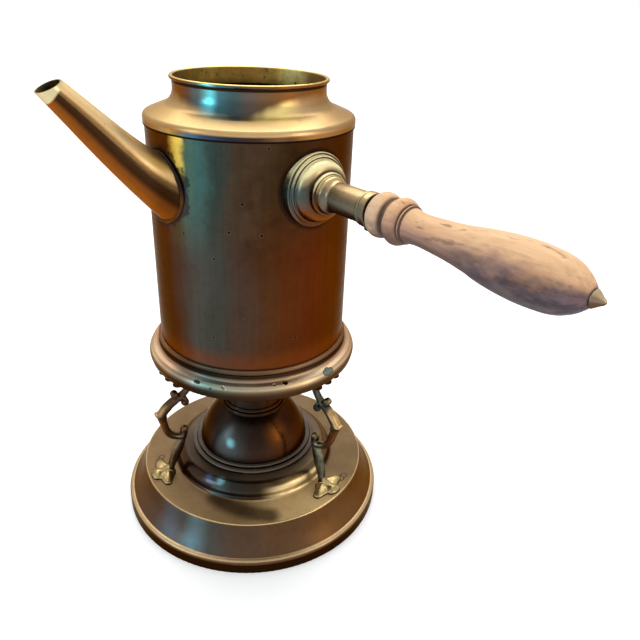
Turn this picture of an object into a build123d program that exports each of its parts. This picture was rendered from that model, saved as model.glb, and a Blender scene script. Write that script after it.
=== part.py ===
from build123d import *
import math
import os

os.makedirs("parts", exist_ok=True)

# A brass coffee maker heated by a spirit burner, in millimetres.
# It stands on the table at z = 0, with +Z up and the origin in the middle of the base.
# The wooden side handle points along +X and the spout along -Y.
# The pot lifts off its ring, the burner lifts out of its base, and the burner's head unscrews.

# Sheet and wire
pot_thickness = 0.7
base_thickness = 1.2
ring_thickness = 1.2
burner_thickness = 0.8
rim_wire_radius = 0.4
solder_gap = 0.02
lap_gap = 0.05

# Spun base
base_radius = 91.3
base_hem_width = 3.7
base_edge_height = 9.3
base_ledge_width = 3.0
base_knee_width = 3.8
base_knee_height = 19.0
base_knee_bend_radius = 40.0
base_shelf_height = 29.5
base_skirt_width = 12.7
base_rise_radius = 56.5
base_seat_height = 40.2
well_radius = 40.3
well_lip_depth = 6.2

# Gallery ring that carries the pot
ring_height = 117.0
ring_flange_width = 9.8
ring_lip_height = 131.0
ring_belly_width = 8.6
ring_lip_gap = 0.7
ring_hole_radius = 1.7
ring_hole_turn = -18.0

# Cast legs: the turn of each foot about the base, how far its top has settled round from it,
# and how far the leg has bent inwards. The leg by the spout is the one that has moved with use.
leg_turns = {"leg_by_the_spout": -103.0, "leg_by_the_handle": 12.3, "leg_at_the_back": 134.7}
leg_sways = {"leg_by_the_spout": 12.0, "leg_by_the_handle": 0.0, "leg_at_the_back": 0.0}
leg_bends = {"leg_by_the_spout": 4.6, "leg_by_the_handle": 0.0, "leg_at_the_back": 0.0}
leg_stem_radius = 63.4
strap_width = 5.2
stem_width = 4.8
neck_width = 4.0
leaf_thickness = 2.2
leaf_length = 14.8
leaf_half_angle = 8.6
leaf_lobe_radius = 2.3
stud_radius = 2.0
stud_gap = 0.15
nut_width = 7.0
nut_height = 2.6
rivet_radius = 1.6
rivet_head_radius = 2.9
rivet_head_height = 1.2
rivet_edge_distance = 5.4

# Pot, with depths counted down from its rim
pot_radius = 60.0
pot_height = 292.0
pot_spigot_depth = 3.4
pot_wall_depth = 22.0
foot_bead_height = 3.2
foot_bead_width = 1.75
pot_floor_height = 2.4
band_depth = 25.4
shoulder_depth = 20.0
shoulder_bend_radius = 2.8
neck_radius = 43.5
neck_root_depth = 13.0
neck_bend_radius = 9.0

# Spout
spout_depth = 55.2
spout_slope = 46.1
spout_length = 76.3
spout_tip_radius = 6.2
spout_cone_radius = 13.4
spout_root_half_width = 18.2
spout_root_half_height = 21.6
spout_mouth_slope = 66.0
spout_sink_depth = 5.0
strainer_hole_radius = 2.2

# Side handle
handle_depth = 51.4
rosette_radius = 20.2
rosette_bore_radius = 7.2
rosette_thickness = 9.4
rosette_sink_depth = 8.0
tube_radius = 8.05
tube_bore_radius = 6.8
tube_length = 45.0
ferrule_length = 6.4
ferrule_radius = 9.1
tenon_radius = 6.2
tenon_length = 16.0
grip_droop_angle = 1.3
grip_length = 114.6
grip_gap = 0.4
grip_shoulder_radius = 8.3
grip_bead_radius = 11.25
grip_cove_radius = 9.75
grip_cove_width = 1.2
first_bead_length = 11.6
grip_waist_radius = 7.75
grip_swell_radius = 13.4
screw_edge_distance = 3.6
screw_radius = 1.3
screw_head_radius = 2.4
screw_head_height = 1.7
screw_gap = 0.1
finial_length = 5.2
finial_radius = 4.1
finial_neck_length = 0.6
finial_tip_radius = 1.3
finial_peg_radius = 2.0
finial_peg_length = 12.0

# Spirit burner
burner_floor_height = 8.0
bowl_radius = 38.7
flange_radius = 43.9
flange_height = 3.0
dome_radius = 38.2
dome_centre_height = 42.2
dome_bead_radius = 40.8
dome_bead_height = 2.0
collar_bore_radius = 18.6
collar_thickness = 0.9
collar_radius = 22.7
collar_height = 75.3
collar_depth = 7.8
thread_gap = 0.1
washer_thickness = 0.6
head_bead_radius = 21.3
head_bead_height = 1.9
cup_radius = 20.3
cup_height = 17.4
cup_rim_radius = 22.6
wick_tube_radius = 6.9
wick_tube_thickness = 0.8
wick_tube_depth = 16.0
wick_tube_height = 9.2
wick_gap = 0.2
wick_show_height = 3.0
vent_radius = 1.2

# Where the pot's pieces stand, from its rim and from its wall, and the base's shelf from its edge
spout_height = pot_height - spout_depth
handle_height = pot_height - handle_depth
ring_inner_radius = pot_radius - ring_flange_width
ring_belly_radius = pot_radius + ring_belly_width
rosette_top = pot_radius + rosette_thickness
tube_end = pot_radius + tube_length
base_shelf_radius = base_radius - base_skirt_width


# Sections and turned pieces

def section(points, radii):
    """A closed section through (radius, height) corners, each rounded to its own radius."""
    corners = [Vector(r, 0, h) for r, h in points]
    bends = []
    for i, (corner, radius) in enumerate(zip(corners, radii)):
        into = (corner - corners[i - 1]).normalized()
        out = (corners[(i + 1) % len(corners)] - corner).normalized()
        half_turn = math.radians(into.get_angle(out)) / 2
        reach = radius * math.tan(half_turn)
        middle = corner + (out - into).normalized() * (radius / math.cos(half_turn) - radius)
        bends.append((corner - into * reach, middle, corner + out * reach))
    edges = [ThreePointArc(*bend) for bend, radius in zip(bends, radii) if radius > 0]
    for i, corner in enumerate(corners):
        start, end = bends[i - 1][2], bends[i][0]
        straight = (end - start).dot(corner - corners[i - 1])
        if straight < -1e-6:
            raise ValueError(f"the bends at {points[i - 1]} and {points[i]} do not fit between them")
        if (end - start).length > 1e-6:
            edges.append(Line(start, end))
    return make_face(edges)


def side_step(points, wall):
    """The same corners one wall to the left of the line, or to the right if the wall is negative."""
    moved = []
    for i, point in enumerate(points):
        ways = []
        for a, b in zip(points[max(i - 1, 0):i + 1], points[max(i, 1):i + 2]):
            length = math.dist(a, b)
            if length > 0:
                ways.append(((a[1] - b[1]) / length, (b[0] - a[0]) / length))
        if i == 0:
            ways = ways[:1]
        first, last = ways[0], ways[-1]
        share = wall / (1 + first[0] * last[0] + first[1] * last[1])
        moved.append((point[0] + share * (first[0] + last[0]), point[1] + share * (first[1] + last[1])))
    return moved


def sheet(points, radii, wall):
    """The section of a sheet bent along a line of corners, with the wall on the line's left side."""
    inner_radii = []
    for a, corner, b, radius in zip(points, points[1:], points[2:], radii):
        turn = (corner[0] - a[0]) * (b[1] - corner[1]) - (corner[1] - a[1]) * (b[0] - corner[0])
        change = -wall if turn > 0 else wall
        inner_radii.append(max(0, radius + change) if radius > 0 else 0)
    inner = side_step(points, wall)
    return section(points + inner[::-1], [0] + radii + [0, 0] + inner_radii[::-1] + [0])


def turned(face):
    return revolve(face, Axis.Z)


def on_handle_axis(piece):
    """A piece turned about Z, with its heights counted from the pot's axis, laid along the handle."""
    return Pos(0, 0, handle_height) * Rot(0, 90, 0) * piece


def bar(radius, bottom, top, x=0, y=0):
    return Pos(x, y, bottom) * extrude(Circle(radius), top - bottom)


def tube(outer, inner, bottom, top):
    return bar(outer, bottom, top) - bar(inner, bottom, top)


parts = {}


# Base: a spun sheet with a rolled edge, a flat shelf for the legs and a raised seat round the well

base_line = [
    (base_radius - base_hem_width, 0),
    (base_radius, 0),
    (base_radius, base_edge_height),
    (base_radius - base_ledge_width, base_edge_height + 0.6),
    (base_shelf_radius + base_knee_width, base_knee_height),
    (base_shelf_radius, base_shelf_height),
    (base_rise_radius, base_shelf_height),
    (base_rise_radius - 2.5, base_seat_height),
    (well_radius, base_seat_height),
    (well_radius, base_seat_height - well_lip_depth),
]
base_bends = [0.6, 2.6, 0.5, base_knee_bend_radius, 0.6, 3.0, 8.5, 1.0]
base = turned(sheet(base_line, base_bends, base_thickness))


# Gallery ring: a spun channel, with a lip outside the pot's foot and a flat flange over the legs

ring_lip_radius = pot_radius + ring_lip_gap + ring_thickness
ring_line = [
    (ring_lip_radius, ring_lip_height),
    (ring_lip_radius, ring_lip_height - 3.8),
    (ring_belly_radius - 2.2, ring_lip_height - 5.2),
    (ring_belly_radius, ring_height + 4.6),
    (ring_belly_radius - 1.2, ring_height),
    (ring_inner_radius, ring_height),
]
gallery_ring = turned(sheet(ring_line, [2.0, 2.4, 3.5, 0.9], -ring_thickness))
flange_top = ring_height + ring_thickness
hole_x = ring_lip_radius + ring_hole_radius + 1.0
ring_hole = Rot(0, 0, ring_hole_turn) * bar(ring_hole_radius, flange_top + 2, ring_lip_height, hole_x)
gallery_ring -= ring_hole


# Legs

def stroke(points):
    """A limb drawn as a line of (x, z, half width) stations, with a round end at each tip."""
    sides = ([], [])
    for i, (x, z, half) in enumerate(points):
        before = points[max(i - 1, 0)]
        after = points[min(i + 1, len(points) - 1)]
        length = math.dist(before[:2], after[:2])
        normal = ((before[1] - after[1]) / length, (after[0] - before[0]) / length)
        for side, sign in zip(sides, (1, -1)):
            side.append(Vector(x + sign * normal[0] * half, 0, z + sign * normal[1] * half))
    left, right = Spline(*sides[0]), Spline(*sides[1])
    ends = [Line(left @ 0, right @ 0), Line(left @ 1, right @ 1)]
    return make_face([left, right] + ends)


def limb(points, width):
    """A flat cast limb with round tips, as thick across the leg as the width."""
    piece = extrude(stroke(points), width / 2, dir=(0, 1, 0), both=True)
    for x, z, half in (points[0], points[-1]):
        piece += Pos(x, 0, z) * Rot(90, 0, 0) * Cylinder(half, width)
    return piece


def cap(x, y, bottom, radius, height):
    """A low round boss, a slice of a ball, standing on the given level."""
    ball = (radius ** 2 + height ** 2) / (2 * height)
    whole = Pos(x, y, bottom + height - ball) * Sphere(ball)
    return whole & (Pos(x, y, bottom + height) * Box(4 * ball, 4 * ball, 2 * height))


shelf = base_shelf_height
neck_root_radius = ring_inner_radius + 1.9

# The leg is drawn for a ring 87.5 mm above the shelf, and grows with that height.
# Each station is a place out from the stem and up from the shelf, with half the limb's width there.
leg_growth = (ring_height - shelf) / 87.5
stem = [
    (0.4, 0.5, 2.6),
    (-0.3, 5, 1.9),
    (-1.7, 12, 2.2),
    (-3.7, 20, 2.9),
    (-5.9, 28, 2.4),
    (-7.3, 34, 2.0),
    (-7.2, 38.4, 2.2),
]
scroll = [
    (-7.0, 32.4, 1.5),
    (-3.4, 32.6, 1.7),
    (1.2, 34.8, 1.8),
    (4.8, 39.6, 1.8),
    (6.8, 45.8, 1.9),
    (8.9, 51.4, 2.1),
]
arm = [
    (9.4, 53.4, 2.3),
    (6.6, 58.2, 2.1),
    (2.6, 62.6, 1.9),
    (-2.6, 66.8, 1.7),
]
outer_knob = [
    (-3.4, 66.0, 1.5),
    (-0.6, 66.6, 1.5),
    (1.0, 69.6, 2.1),
]
inner_knob = [
    (-2.4, 67.2, 1.6),
    (-5.6, 65.2, 1.6),
    (-6.4, 62.0, 2.4),
]
neck_low = [
    (-2.6, 66.8, 1.7),
    (-6.4, 70.6, 1.5),
    (-9.2, 75.4, 1.4),
]
neck_high = [
    (neck_root_radius, ring_height - leaf_thickness - 2.4, 1.6),
    (neck_root_radius + 0.6, ring_height - 0.5 * leaf_thickness, 2.4),
]
knee = [
    (6.9, 49.6, 0),
    (12.6, 54.4, 0),
    (7.0, 60.4, 0),
]
# Round bosses of the foot: out from the stem, across, radius and rise
foot_lobes = [
    (8.8, 2.6, 4.2, 3.4),
    (8.8, -2.6, 4.2, 3.4),
    (4.6, 0.0, 4.8, 4.6),
    (2.8, 6.6, 4.6, 3.6),
    (2.8, -6.6, 4.6, 3.6),
    (4.4, 11.4, 2.9, 3.0),
    (4.4, -11.4, 2.9, 3.0),
    (0.4, 0.0, 3.8, 6.0),
]


def settled(stations, bend):
    """Stations of a grown leg that has bent inwards about its foot by an angle in degrees."""
    turn = math.radians(bend)
    moved = []
    for station in stations:
        out, up, half = (leg_growth * size for size in station)
        x = leg_stem_radius + out * math.cos(turn) - up * math.sin(turn)
        moved.append((x, shelf + up * math.cos(turn) + out * math.sin(turn), half))
    return moved


def leg_scroll(bend):
    """The upright casting: a bulged stem, an open scroll with a pointed knee, and a neck with two knobs."""
    casting = limb(settled(stem, bend), stem_width)
    for line in (scroll, arm, outer_knob, inner_knob):
        casting += limb(settled(line, bend), strap_width)
    casting += limb(settled(neck_low, bend) + neck_high, neck_width)
    spur = make_face(Polyline(*[(x, 0, z) for x, z, half in settled(knee, bend)], close=True))
    casting += extrude(spur, strap_width / 2, dir=(0, 1, 0), both=True)
    return casting


def leg_leaf():
    """The leaf under the ring's flange, with four round lobes that show below the ring's edge."""
    inner_end = ring_inner_radius - 0.6
    outer_end = inner_end + leaf_length
    spread = outer_end * math.tan(math.radians(leaf_half_angle))
    corners = [(inner_end, -3), (inner_end, 3), (outer_end, spread), (outer_end, -spread)]
    leaf = Pos(0, 0, ring_height - leaf_thickness) * extrude(make_face(Polyline(*corners, close=True)), leaf_thickness)
    for share in (-1, -0.36, 0.36, 1):
        lobe = bar(leaf_lobe_radius, ring_height - leaf_thickness - 0.7, ring_height, outer_end)
        leaf += Rot(0, 0, share * leaf_half_angle) * lobe
    rivet_x = outer_end - rivet_edge_distance
    return leaf - bar(rivet_radius + stud_gap, ring_height - 2 * leaf_thickness, ring_height, rivet_x)


def leg(sway, bend):
    """One leg with its foot on +X: the top stands the sway angle further round than the foot."""
    height = ring_height - shelf
    lean = math.degrees(math.atan2(neck_root_radius * math.sin(math.radians(sway)), height))
    casting = Pos(0, 0, shelf) * Rot(-lean, 0, 0) * Pos(0, 0, -shelf) * leg_scroll(bend)
    casting += Rot(0, 0, sway) * leg_leaf()
    for lobe in foot_lobes:
        out, across, radius, rise = (leg_growth * size for size in lobe)
        casting += cap(leg_stem_radius + out, across, shelf, radius, rise)
    casting = casting - bar(base_radius, 0, shelf) - bar(base_radius, ring_height, pot_height)
    stud_end = shelf - base_thickness - nut_height - 1
    return casting + bar(stud_radius, stud_end, shelf + 1, leg_stem_radius)


def foot_nut():
    top = shelf - base_thickness
    blank = extrude(RegularPolygon(nut_width / 2, 6, major_radius=False), nut_height)
    return Pos(leg_stem_radius, 0, top - nut_height) * (blank - bar(stud_radius + 0.05, 0, nut_height))


def ring_rivet():
    """A rivet through a leg's leaf and the ring's flange, hammered over at both ends."""
    low = ring_height - leaf_thickness
    head = rivet_head_radius
    points = [
        (0, low - rivet_head_height),
        (head - 0.5, low - rivet_head_height),
        (head - 0.5, low),
        (rivet_radius, low),
        (rivet_radius, flange_top),
        (head, flange_top),
        (head, flange_top + rivet_head_height),
        (0, flange_top + rivet_head_height),
    ]
    x = ring_inner_radius - 0.6 + leaf_length - rivet_edge_distance
    return Pos(x, 0, 0) * turned(section(points, [0, 0.9, 0, 0, 0, 0, 0.9, 0]))


nuts = []
rivets = []
for name, turn in leg_turns.items():
    place = Rot(0, 0, turn)
    top_place = Rot(0, 0, turn + leg_sways[name])
    parts[name] = place * leg(leg_sways[name], leg_bends[name])
    nuts.append(place * foot_nut())
    rivets.append(top_place * ring_rivet())
    stud_hole = bar(stud_radius + stud_gap, shelf - 2 * base_thickness, flange_top, leg_stem_radius)
    base -= place * stud_hole
    rivet_x = ring_inner_radius - 0.6 + leaf_length - rivet_edge_distance
    rivet_hole = bar(rivet_radius + stud_gap, shelf, ring_lip_height, rivet_x)
    gallery_ring -= top_place * rivet_hole
parts["base"] = base
parts["gallery_ring"] = gallery_ring
parts["foot_nuts"] = Compound(children=nuts)
parts["ring_rivets"] = Compound(children=rivets)


# Pot: a drawn body, a floor let in from below, a foot bead, and a spun shoulder with a wired rim

pot_bottom_edge = ring_lip_height - pot_spigot_depth
pot_inner_radius = pot_radius - pot_thickness
body = tube(pot_radius, pot_inner_radius, pot_bottom_edge, pot_height - pot_wall_depth)

floor_radius = pot_inner_radius - solder_gap
floor_low = pot_bottom_edge + 0.4
floor_line = [
    (0, floor_low + pot_floor_height),
    (floor_radius - 10, floor_low + pot_floor_height),
    (floor_radius - 4, floor_low),
    (floor_radius, floor_low),
    (floor_radius, floor_low + 7.5),
]
parts["pot_floor"] = turned(sheet(floor_line, [10.0, 3.0, 1.3], pot_thickness))

bead_inner = pot_radius + solder_gap
bead_outer = pot_radius + foot_bead_width
bead_top = ring_lip_height + foot_bead_height
bead_corners = [
    (bead_inner, ring_lip_height),
    (bead_outer, ring_lip_height),
    (bead_outer, bead_top),
    (bead_inner, bead_top),
]
parts["foot_bead"] = turned(section(bead_corners, [0, 0.6, 1.6, 0]))

band_radius = pot_radius + lap_gap + pot_thickness
curl_top = pot_height - pot_thickness
curl_radius = rim_wire_radius
shoulder_line = [
    (band_radius, pot_height - band_depth),
    (band_radius, pot_height - shoulder_depth),
    (neck_radius, pot_height - neck_root_depth),
    (neck_radius, curl_top),
    (neck_radius + 2 * curl_radius, curl_top),
    (neck_radius + 2 * curl_radius, curl_top - 2 * curl_radius),
    (neck_radius + 0.7 * curl_radius, curl_top - 2 * curl_radius),
]
curl_bend = curl_radius - 0.01
shoulder_bends = [shoulder_bend_radius, neck_bend_radius, curl_bend, curl_bend, curl_bend]
parts["shoulder_and_neck"] = turned(sheet(shoulder_line, shoulder_bends, pot_thickness))
wire_centre = (neck_radius + curl_radius, curl_top - curl_radius)
wire_loop = Pos(wire_centre[0], 0, wire_centre[1]) * Rot(90, 0, 0) * Circle(curl_radius - solder_gap)
parts["rim_wire"] = revolve(wire_loop, Axis.Z)


# Spout: a tapered tube that flares onto the body, pierced behind as a strainer

slope = math.radians(spout_slope)
spout_way = Vector(0, -math.cos(slope), math.sin(slope))
spout_root = Vector(0, -pot_radius, spout_height)
taper = (spout_cone_radius - spout_tip_radius) / spout_length


def spout_form(wall):
    """The spout's outer form, or its bore when a wall is taken off, from inside the pot to past the tip."""
    root = (0, -pot_radius + spout_sink_depth, spout_height - 2.6)
    root_plane = Plane(origin=root, x_dir=(1, 0, 0), z_dir=(0, -1, 0))
    rings = [root_plane * Ellipse(spout_root_half_width + 1 - wall, spout_root_half_height - wall)]
    for station in (24, 50, spout_length + 12):
        plane = Plane(origin=spout_root + spout_way * station, x_dir=(1, 0, 0), z_dir=spout_way)
        rings.append(plane * Circle(spout_cone_radius - taper * station - wall))
    return loft(rings)


mouth_way = math.radians(spout_mouth_slope)
tip = spout_root + spout_way * spout_length
mouth_plane = Plane(origin=tip, x_dir=(1, 0, 0), z_dir=(0, -math.cos(mouth_way), math.sin(mouth_way)))
beyond_mouth = mouth_plane * extrude(Circle(3 * spout_cone_radius), spout_length)
body_core = bar(pot_radius + solder_gap, 0, pot_height)
parts["spout"] = spout_form(0) - spout_form(pot_thickness) - beyond_mouth - body_core

strainer_pitch = 3 * strainer_hole_radius
for row in range(-3, 4):
    for place in range(-3, 4):
        x = (place + 0.5 * (row % 2)) * strainer_pitch
        z = row * strainer_pitch * math.sqrt(3) / 2
        half_width = spout_root_half_width - pot_thickness - 2 * strainer_hole_radius
        half_height = spout_root_half_height - pot_thickness - 2 * strainer_hole_radius
        if (x / half_width) ** 2 + (z / half_height) ** 2 < 1:
            drill = extrude(Circle(strainer_hole_radius), spout_root_half_width, both=True)
            body -= Pos(x, -pot_radius, spout_height + z) * Rot(90, 0, 0) * drill
parts["pot_body"] = body


# Handle: a cast rosette and a socket on the body, a ferrule, a turned grip, its screw and its finial

rosette_corners = [
    (rosette_bore_radius + solder_gap, pot_radius - rosette_sink_depth),
    (rosette_radius, pot_radius - rosette_sink_depth),
    (rosette_radius, pot_radius + 1.6),
    (rosette_radius - 1.6, pot_radius + 1.6),
    (rosette_radius - 1.9, pot_radius + 3.2),
    (rosette_radius - 3.2, pot_radius + 3.2),
    (rosette_radius - 4.2, rosette_top),
    (rosette_bore_radius + solder_gap, rosette_top),
]
rosette = on_handle_axis(turned(section(rosette_corners, [0, 0, 0.7, 0.5, 0.6, 0.4, 5.6, 0])))
parts["handle_rosette"] = rosette - body_core

socket_corners = [
    (0, pot_radius - rosette_sink_depth),
    (rosette_bore_radius, pot_radius - rosette_sink_depth),
    (rosette_bore_radius, rosette_top),
    (11.6, rosette_top),
    (11.6, rosette_top + 2.4),
    (10.3, rosette_top + 2.4),
    (10.1, rosette_top + 5.0),
    (tube_radius, rosette_top + 7.6),
    (tube_radius, tube_end),
    (tube_bore_radius, tube_end),
    (tube_bore_radius, rosette_top - 2),
    (0, rosette_top - 2),
]
socket_bends = [0, 0, 0, 0.9, 1.0, 0.3, 2.0, 4.0, 0, 0, 0, 0]
socket = on_handle_axis(turned(section(socket_corners, socket_bends))) - body_core

ferrule_start = tube_end - ferrule_length
ferrule_corners = [
    (tube_radius + solder_gap, ferrule_start),
    (ferrule_radius - 0.2, ferrule_start),
    (ferrule_radius - 0.2, ferrule_start + 1.6),
    (ferrule_radius - 0.7, ferrule_start + 2.0),
    (ferrule_radius, ferrule_start + 2.5),
    (ferrule_radius, tube_end),
    (tube_radius + solder_gap, tube_end),
]
ferrule = on_handle_axis(turned(section(ferrule_corners, [0, 0.7, 0.6, 0.2, 0.4, 0.6, 0])))

# The grip's heights are counted from the socket's mouth
second_bead_start = first_bead_length + grip_cove_width
second_bead_end = second_bead_start + 9.4
grip_ring_end = second_bead_end + 1.8
swell_height = grip_length - 28.4
grip_lines = [
    Polyline(
        (0, 0, -tenon_length),
        (tenon_radius, 0, -tenon_length),
        (tenon_radius, 0, grip_gap),
        (grip_shoulder_radius, 0, grip_gap),
    ),
    ThreePointArc(
        (grip_shoulder_radius, 0, grip_gap),
        (grip_bead_radius, 0, first_bead_length - 5),
        (grip_cove_radius, 0, first_bead_length),
    ),
    Line((grip_cove_radius, 0, first_bead_length), (grip_cove_radius, 0, second_bead_start)),
    ThreePointArc(
        (grip_cove_radius, 0, second_bead_start),
        (grip_bead_radius, 0, second_bead_start + 4.8),
        (grip_cove_radius, 0, second_bead_end),
    ),
    Polyline(
        (grip_cove_radius, 0, second_bead_end),
        (grip_cove_radius - 0.6, 0, second_bead_end),
        (grip_cove_radius - 0.6, 0, grip_ring_end),
        (grip_waist_radius + 0.75, 0, grip_ring_end),
    ),
    Spline(
        (grip_waist_radius + 0.75, 0, grip_ring_end),
        (grip_waist_radius, 0, grip_ring_end + 6.5),
        (grip_waist_radius + 1.75, 0, grip_ring_end + 29.5),
        (grip_swell_radius - 1.4, 0, swell_height - 17),
        (grip_swell_radius, 0, swell_height),
        (grip_swell_radius - 0.8, 0, grip_length - 15.3),
        (grip_swell_radius - 3.1, 0, grip_length - 7.8),
        (finial_radius + 2.6, 0, grip_length - 2.4),
        (finial_radius + 0.1, 0, grip_length),
    ),
    Line((finial_radius + 0.1, 0, grip_length), (0, 0, grip_length)),
    Line((0, 0, grip_length), (0, 0, -tenon_length)),
]
grip = turned(make_face(grip_lines))
peg_start = grip_length - finial_peg_length
grip -= bar(finial_peg_radius + screw_gap, peg_start - 0.5, grip_length)
finial_end = grip_length + finial_length
button_start = grip_length + finial_neck_length
finial_lines = [
    Polyline(
        (0, 0, peg_start),
        (finial_peg_radius, 0, peg_start),
        (finial_peg_radius, 0, grip_length),
        (finial_radius - 0.8, 0, grip_length),
        (finial_radius - 0.8, 0, button_start),
        (finial_radius, 0, button_start),
    ),
    Spline(
        (finial_radius, 0, button_start),
        (finial_radius - 0.5, 0, button_start + 0.8),
        (0.58 * finial_radius, 0, finial_end - 2.2),
        (finial_tip_radius, 0, finial_end - 0.5),
    ),
    Line((finial_tip_radius, 0, finial_end - 0.5), (0.5 * finial_tip_radius, 0, finial_end)),
    Line((0.5 * finial_tip_radius, 0, finial_end), (0, 0, finial_end)),
    Line((0, 0, finial_end), (0, 0, peg_start)),
]
finial = turned(make_face(finial_lines))

grip_place = Pos(tube_end, 0, handle_height) * Rot(0, 90 + grip_droop_angle, 0)
screw_x = tube_end - screw_edge_distance
screw_axis_bottom = handle_height - ferrule_radius - screw_head_height
screw_hole = bar(screw_radius + screw_gap, screw_axis_bottom, handle_height - 1.5, screw_x)
socket -= screw_hole
ferrule -= screw_hole
screw_corners = [
    (0, screw_axis_bottom),
    (screw_head_radius, screw_axis_bottom),
    (screw_head_radius, handle_height - ferrule_radius),
    (screw_radius, handle_height - ferrule_radius),
    (screw_radius, handle_height - 2),
    (0, handle_height - 2),
]
screw = Pos(screw_x, 0, 0) * turned(section(screw_corners, [0, 1.1, 0.2, 0, 0.3, 0]))
screw -= Pos(screw_x, 0, screw_axis_bottom) * Box(6, 0.6, 1.2)
parts["handle_socket"] = socket
parts["handle_ferrule"] = ferrule
parts["socket_screw"] = screw
parts["wooden_grip"] = grip_place * grip - screw_hole
parts["grip_finial"] = grip_place * finial


# Burner: a bowl and a dome soldered into one tank, a threaded collar, and the head that unscrews

bowl_line = [
    (0, burner_floor_height + 1.5),
    (22, burner_floor_height + 1.5),
    (26, burner_floor_height),
    (bowl_radius - 6, burner_floor_height),
    (bowl_radius, burner_floor_height + 9),
    (bowl_radius, base_seat_height),
    (flange_radius, base_seat_height),
    (flange_radius, base_seat_height + flange_height),
    (dome_bead_radius + 0.6, base_seat_height + flange_height),
]
bowl_bends = [3.0, 2.0, 5.0, 6.0, 0.8, 1.4, 1.4]
parts["burner_bowl"] = turned(sheet(bowl_line, bowl_bends, burner_thickness))


def dome_point(angle, radius=dome_radius):
    return (radius * math.cos(angle), dome_centre_height + radius * math.sin(angle))


seam_height = base_seat_height + flange_height
start_angle = math.asin((seam_height + dome_bead_height - dome_centre_height) / dome_radius)
end_angle = math.acos((collar_bore_radius + collar_thickness + lap_gap) / (dome_radius - burner_thickness))
half_angle = (end_angle - start_angle) / 2
dome_line = [
    (dome_radius - burner_thickness, seam_height),
    (dome_bead_radius, seam_height),
    (dome_bead_radius, seam_height + dome_bead_height),
    dome_point(start_angle),
    dome_point(start_angle + half_angle, dome_radius / math.cos(half_angle)),
    dome_point(end_angle),
]
dome_bends = [0.9, 0.9, 0, dome_radius - 0.01]
parts["burner_dome"] = turned(sheet(dome_line, dome_bends, burner_thickness))

collar_sleeve = collar_bore_radius + collar_thickness
collar_corners = [
    (collar_bore_radius, collar_height - collar_depth),
    (collar_sleeve, collar_height - collar_depth),
    (collar_sleeve, collar_height - 3.6),
    (collar_radius, collar_height - 3.6),
    (collar_radius, collar_height),
    (collar_bore_radius, collar_height),
]
collar = turned(section(collar_corners, [0, 0, 0, 0, 1.1, 0]))
dome_ball = Pos(0, 0, dome_centre_height) * Sphere(dome_radius + solder_gap)
parts["burner_collar"] = collar - (dome_ball - bar(collar_sleeve, 0, pot_height))

washer_top = collar_height + washer_thickness
washer_inner = collar_bore_radius + 0.2
parts["head_washer"] = tube(head_bead_radius - 0.5, washer_inner, collar_height, washer_top)

head_sleeve = collar_bore_radius - thread_gap
cup_floor = washer_top + head_bead_height
cup_top = cup_floor + cup_height
tube_hole = wick_tube_radius + solder_gap
head_corners = [
    (head_sleeve - 0.9, collar_height - collar_depth + 1.5),
    (head_sleeve, collar_height - collar_depth + 1.5),
    (head_sleeve, washer_top),
    (head_bead_radius, washer_top),
    (head_bead_radius, cup_floor),
    (cup_radius, cup_floor),
    (cup_radius + 0.3, cup_top - 5),
    (cup_rim_radius, cup_top - 1.6),
    (cup_rim_radius, cup_top),
    (cup_rim_radius - 1.4, cup_top),
    (cup_radius - 0.7, cup_top - 5),
    (cup_radius - 1.0, cup_floor + 1),
    (tube_hole, cup_floor + 1),
    (tube_hole, cup_floor - 0.4),
    (head_sleeve - 0.9, cup_floor - 0.4),
]
head_bends = [0, 0, 0, 0.8, 0.8, 0.1, 6.0, 0.5, 0.7, 0.5, 5.0, 0.8, 0, 0, 0]
head = turned(section(head_corners, head_bends))
vent_x = (tube_hole + cup_radius) / 2 + 1.4
head -= bar(vent_radius, cup_floor - 2, cup_floor + 2, vent_x)
parts["burner_head"] = head

wick_bore = wick_tube_radius - wick_tube_thickness
tube_bottom = cup_floor - wick_tube_depth
tube_top = cup_floor + 1 + wick_tube_height
tube_corners = [
    (wick_bore, tube_bottom),
    (wick_tube_radius, tube_bottom),
    (wick_tube_radius, cup_floor + 1),
    (wick_tube_radius + 2, cup_floor + 1),
    (wick_tube_radius + 2, cup_floor + 2),
    (wick_tube_radius, cup_floor + 2),
    (wick_tube_radius, tube_top),
    (wick_bore, tube_top),
]
parts["wick_tube"] = turned(section(tube_corners, [0, 0, 0, 0, 0.4, 0.3, 0.3, 0]))

wick_radius = wick_bore - wick_gap
wick_corners = [
    (0, burner_floor_height + 4),
    (wick_radius, burner_floor_height + 4),
    (wick_radius, tube_top + wick_show_height),
    (0, tube_top + wick_show_height),
]
parts["wick"] = turned(section(wick_corners, [0, 1.5, 2.6, 0]))


for name, part in parts.items():
    part.label = name
    export_step(part, f"parts/{name}.step")
    print(f"{name}: {len(part.solids())} solid(s), {part.volume / 1000:.2f} cm3")
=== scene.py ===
# %% [markdown]
# # A brass coffee maker on its spirit burner
# This lesson dresses a finished model of a coffee maker. The model comes as a fixed frame: its
# pieces are already made and stand where they belong, so the lesson is about finishes, about the
# few shapes that are easier to model by hand than to machine, and about plain studio light.

# %% Load the frame
import bpy
import bmesh
import math
import numpy as np
from mathutils import Matrix, Vector, noise


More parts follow.
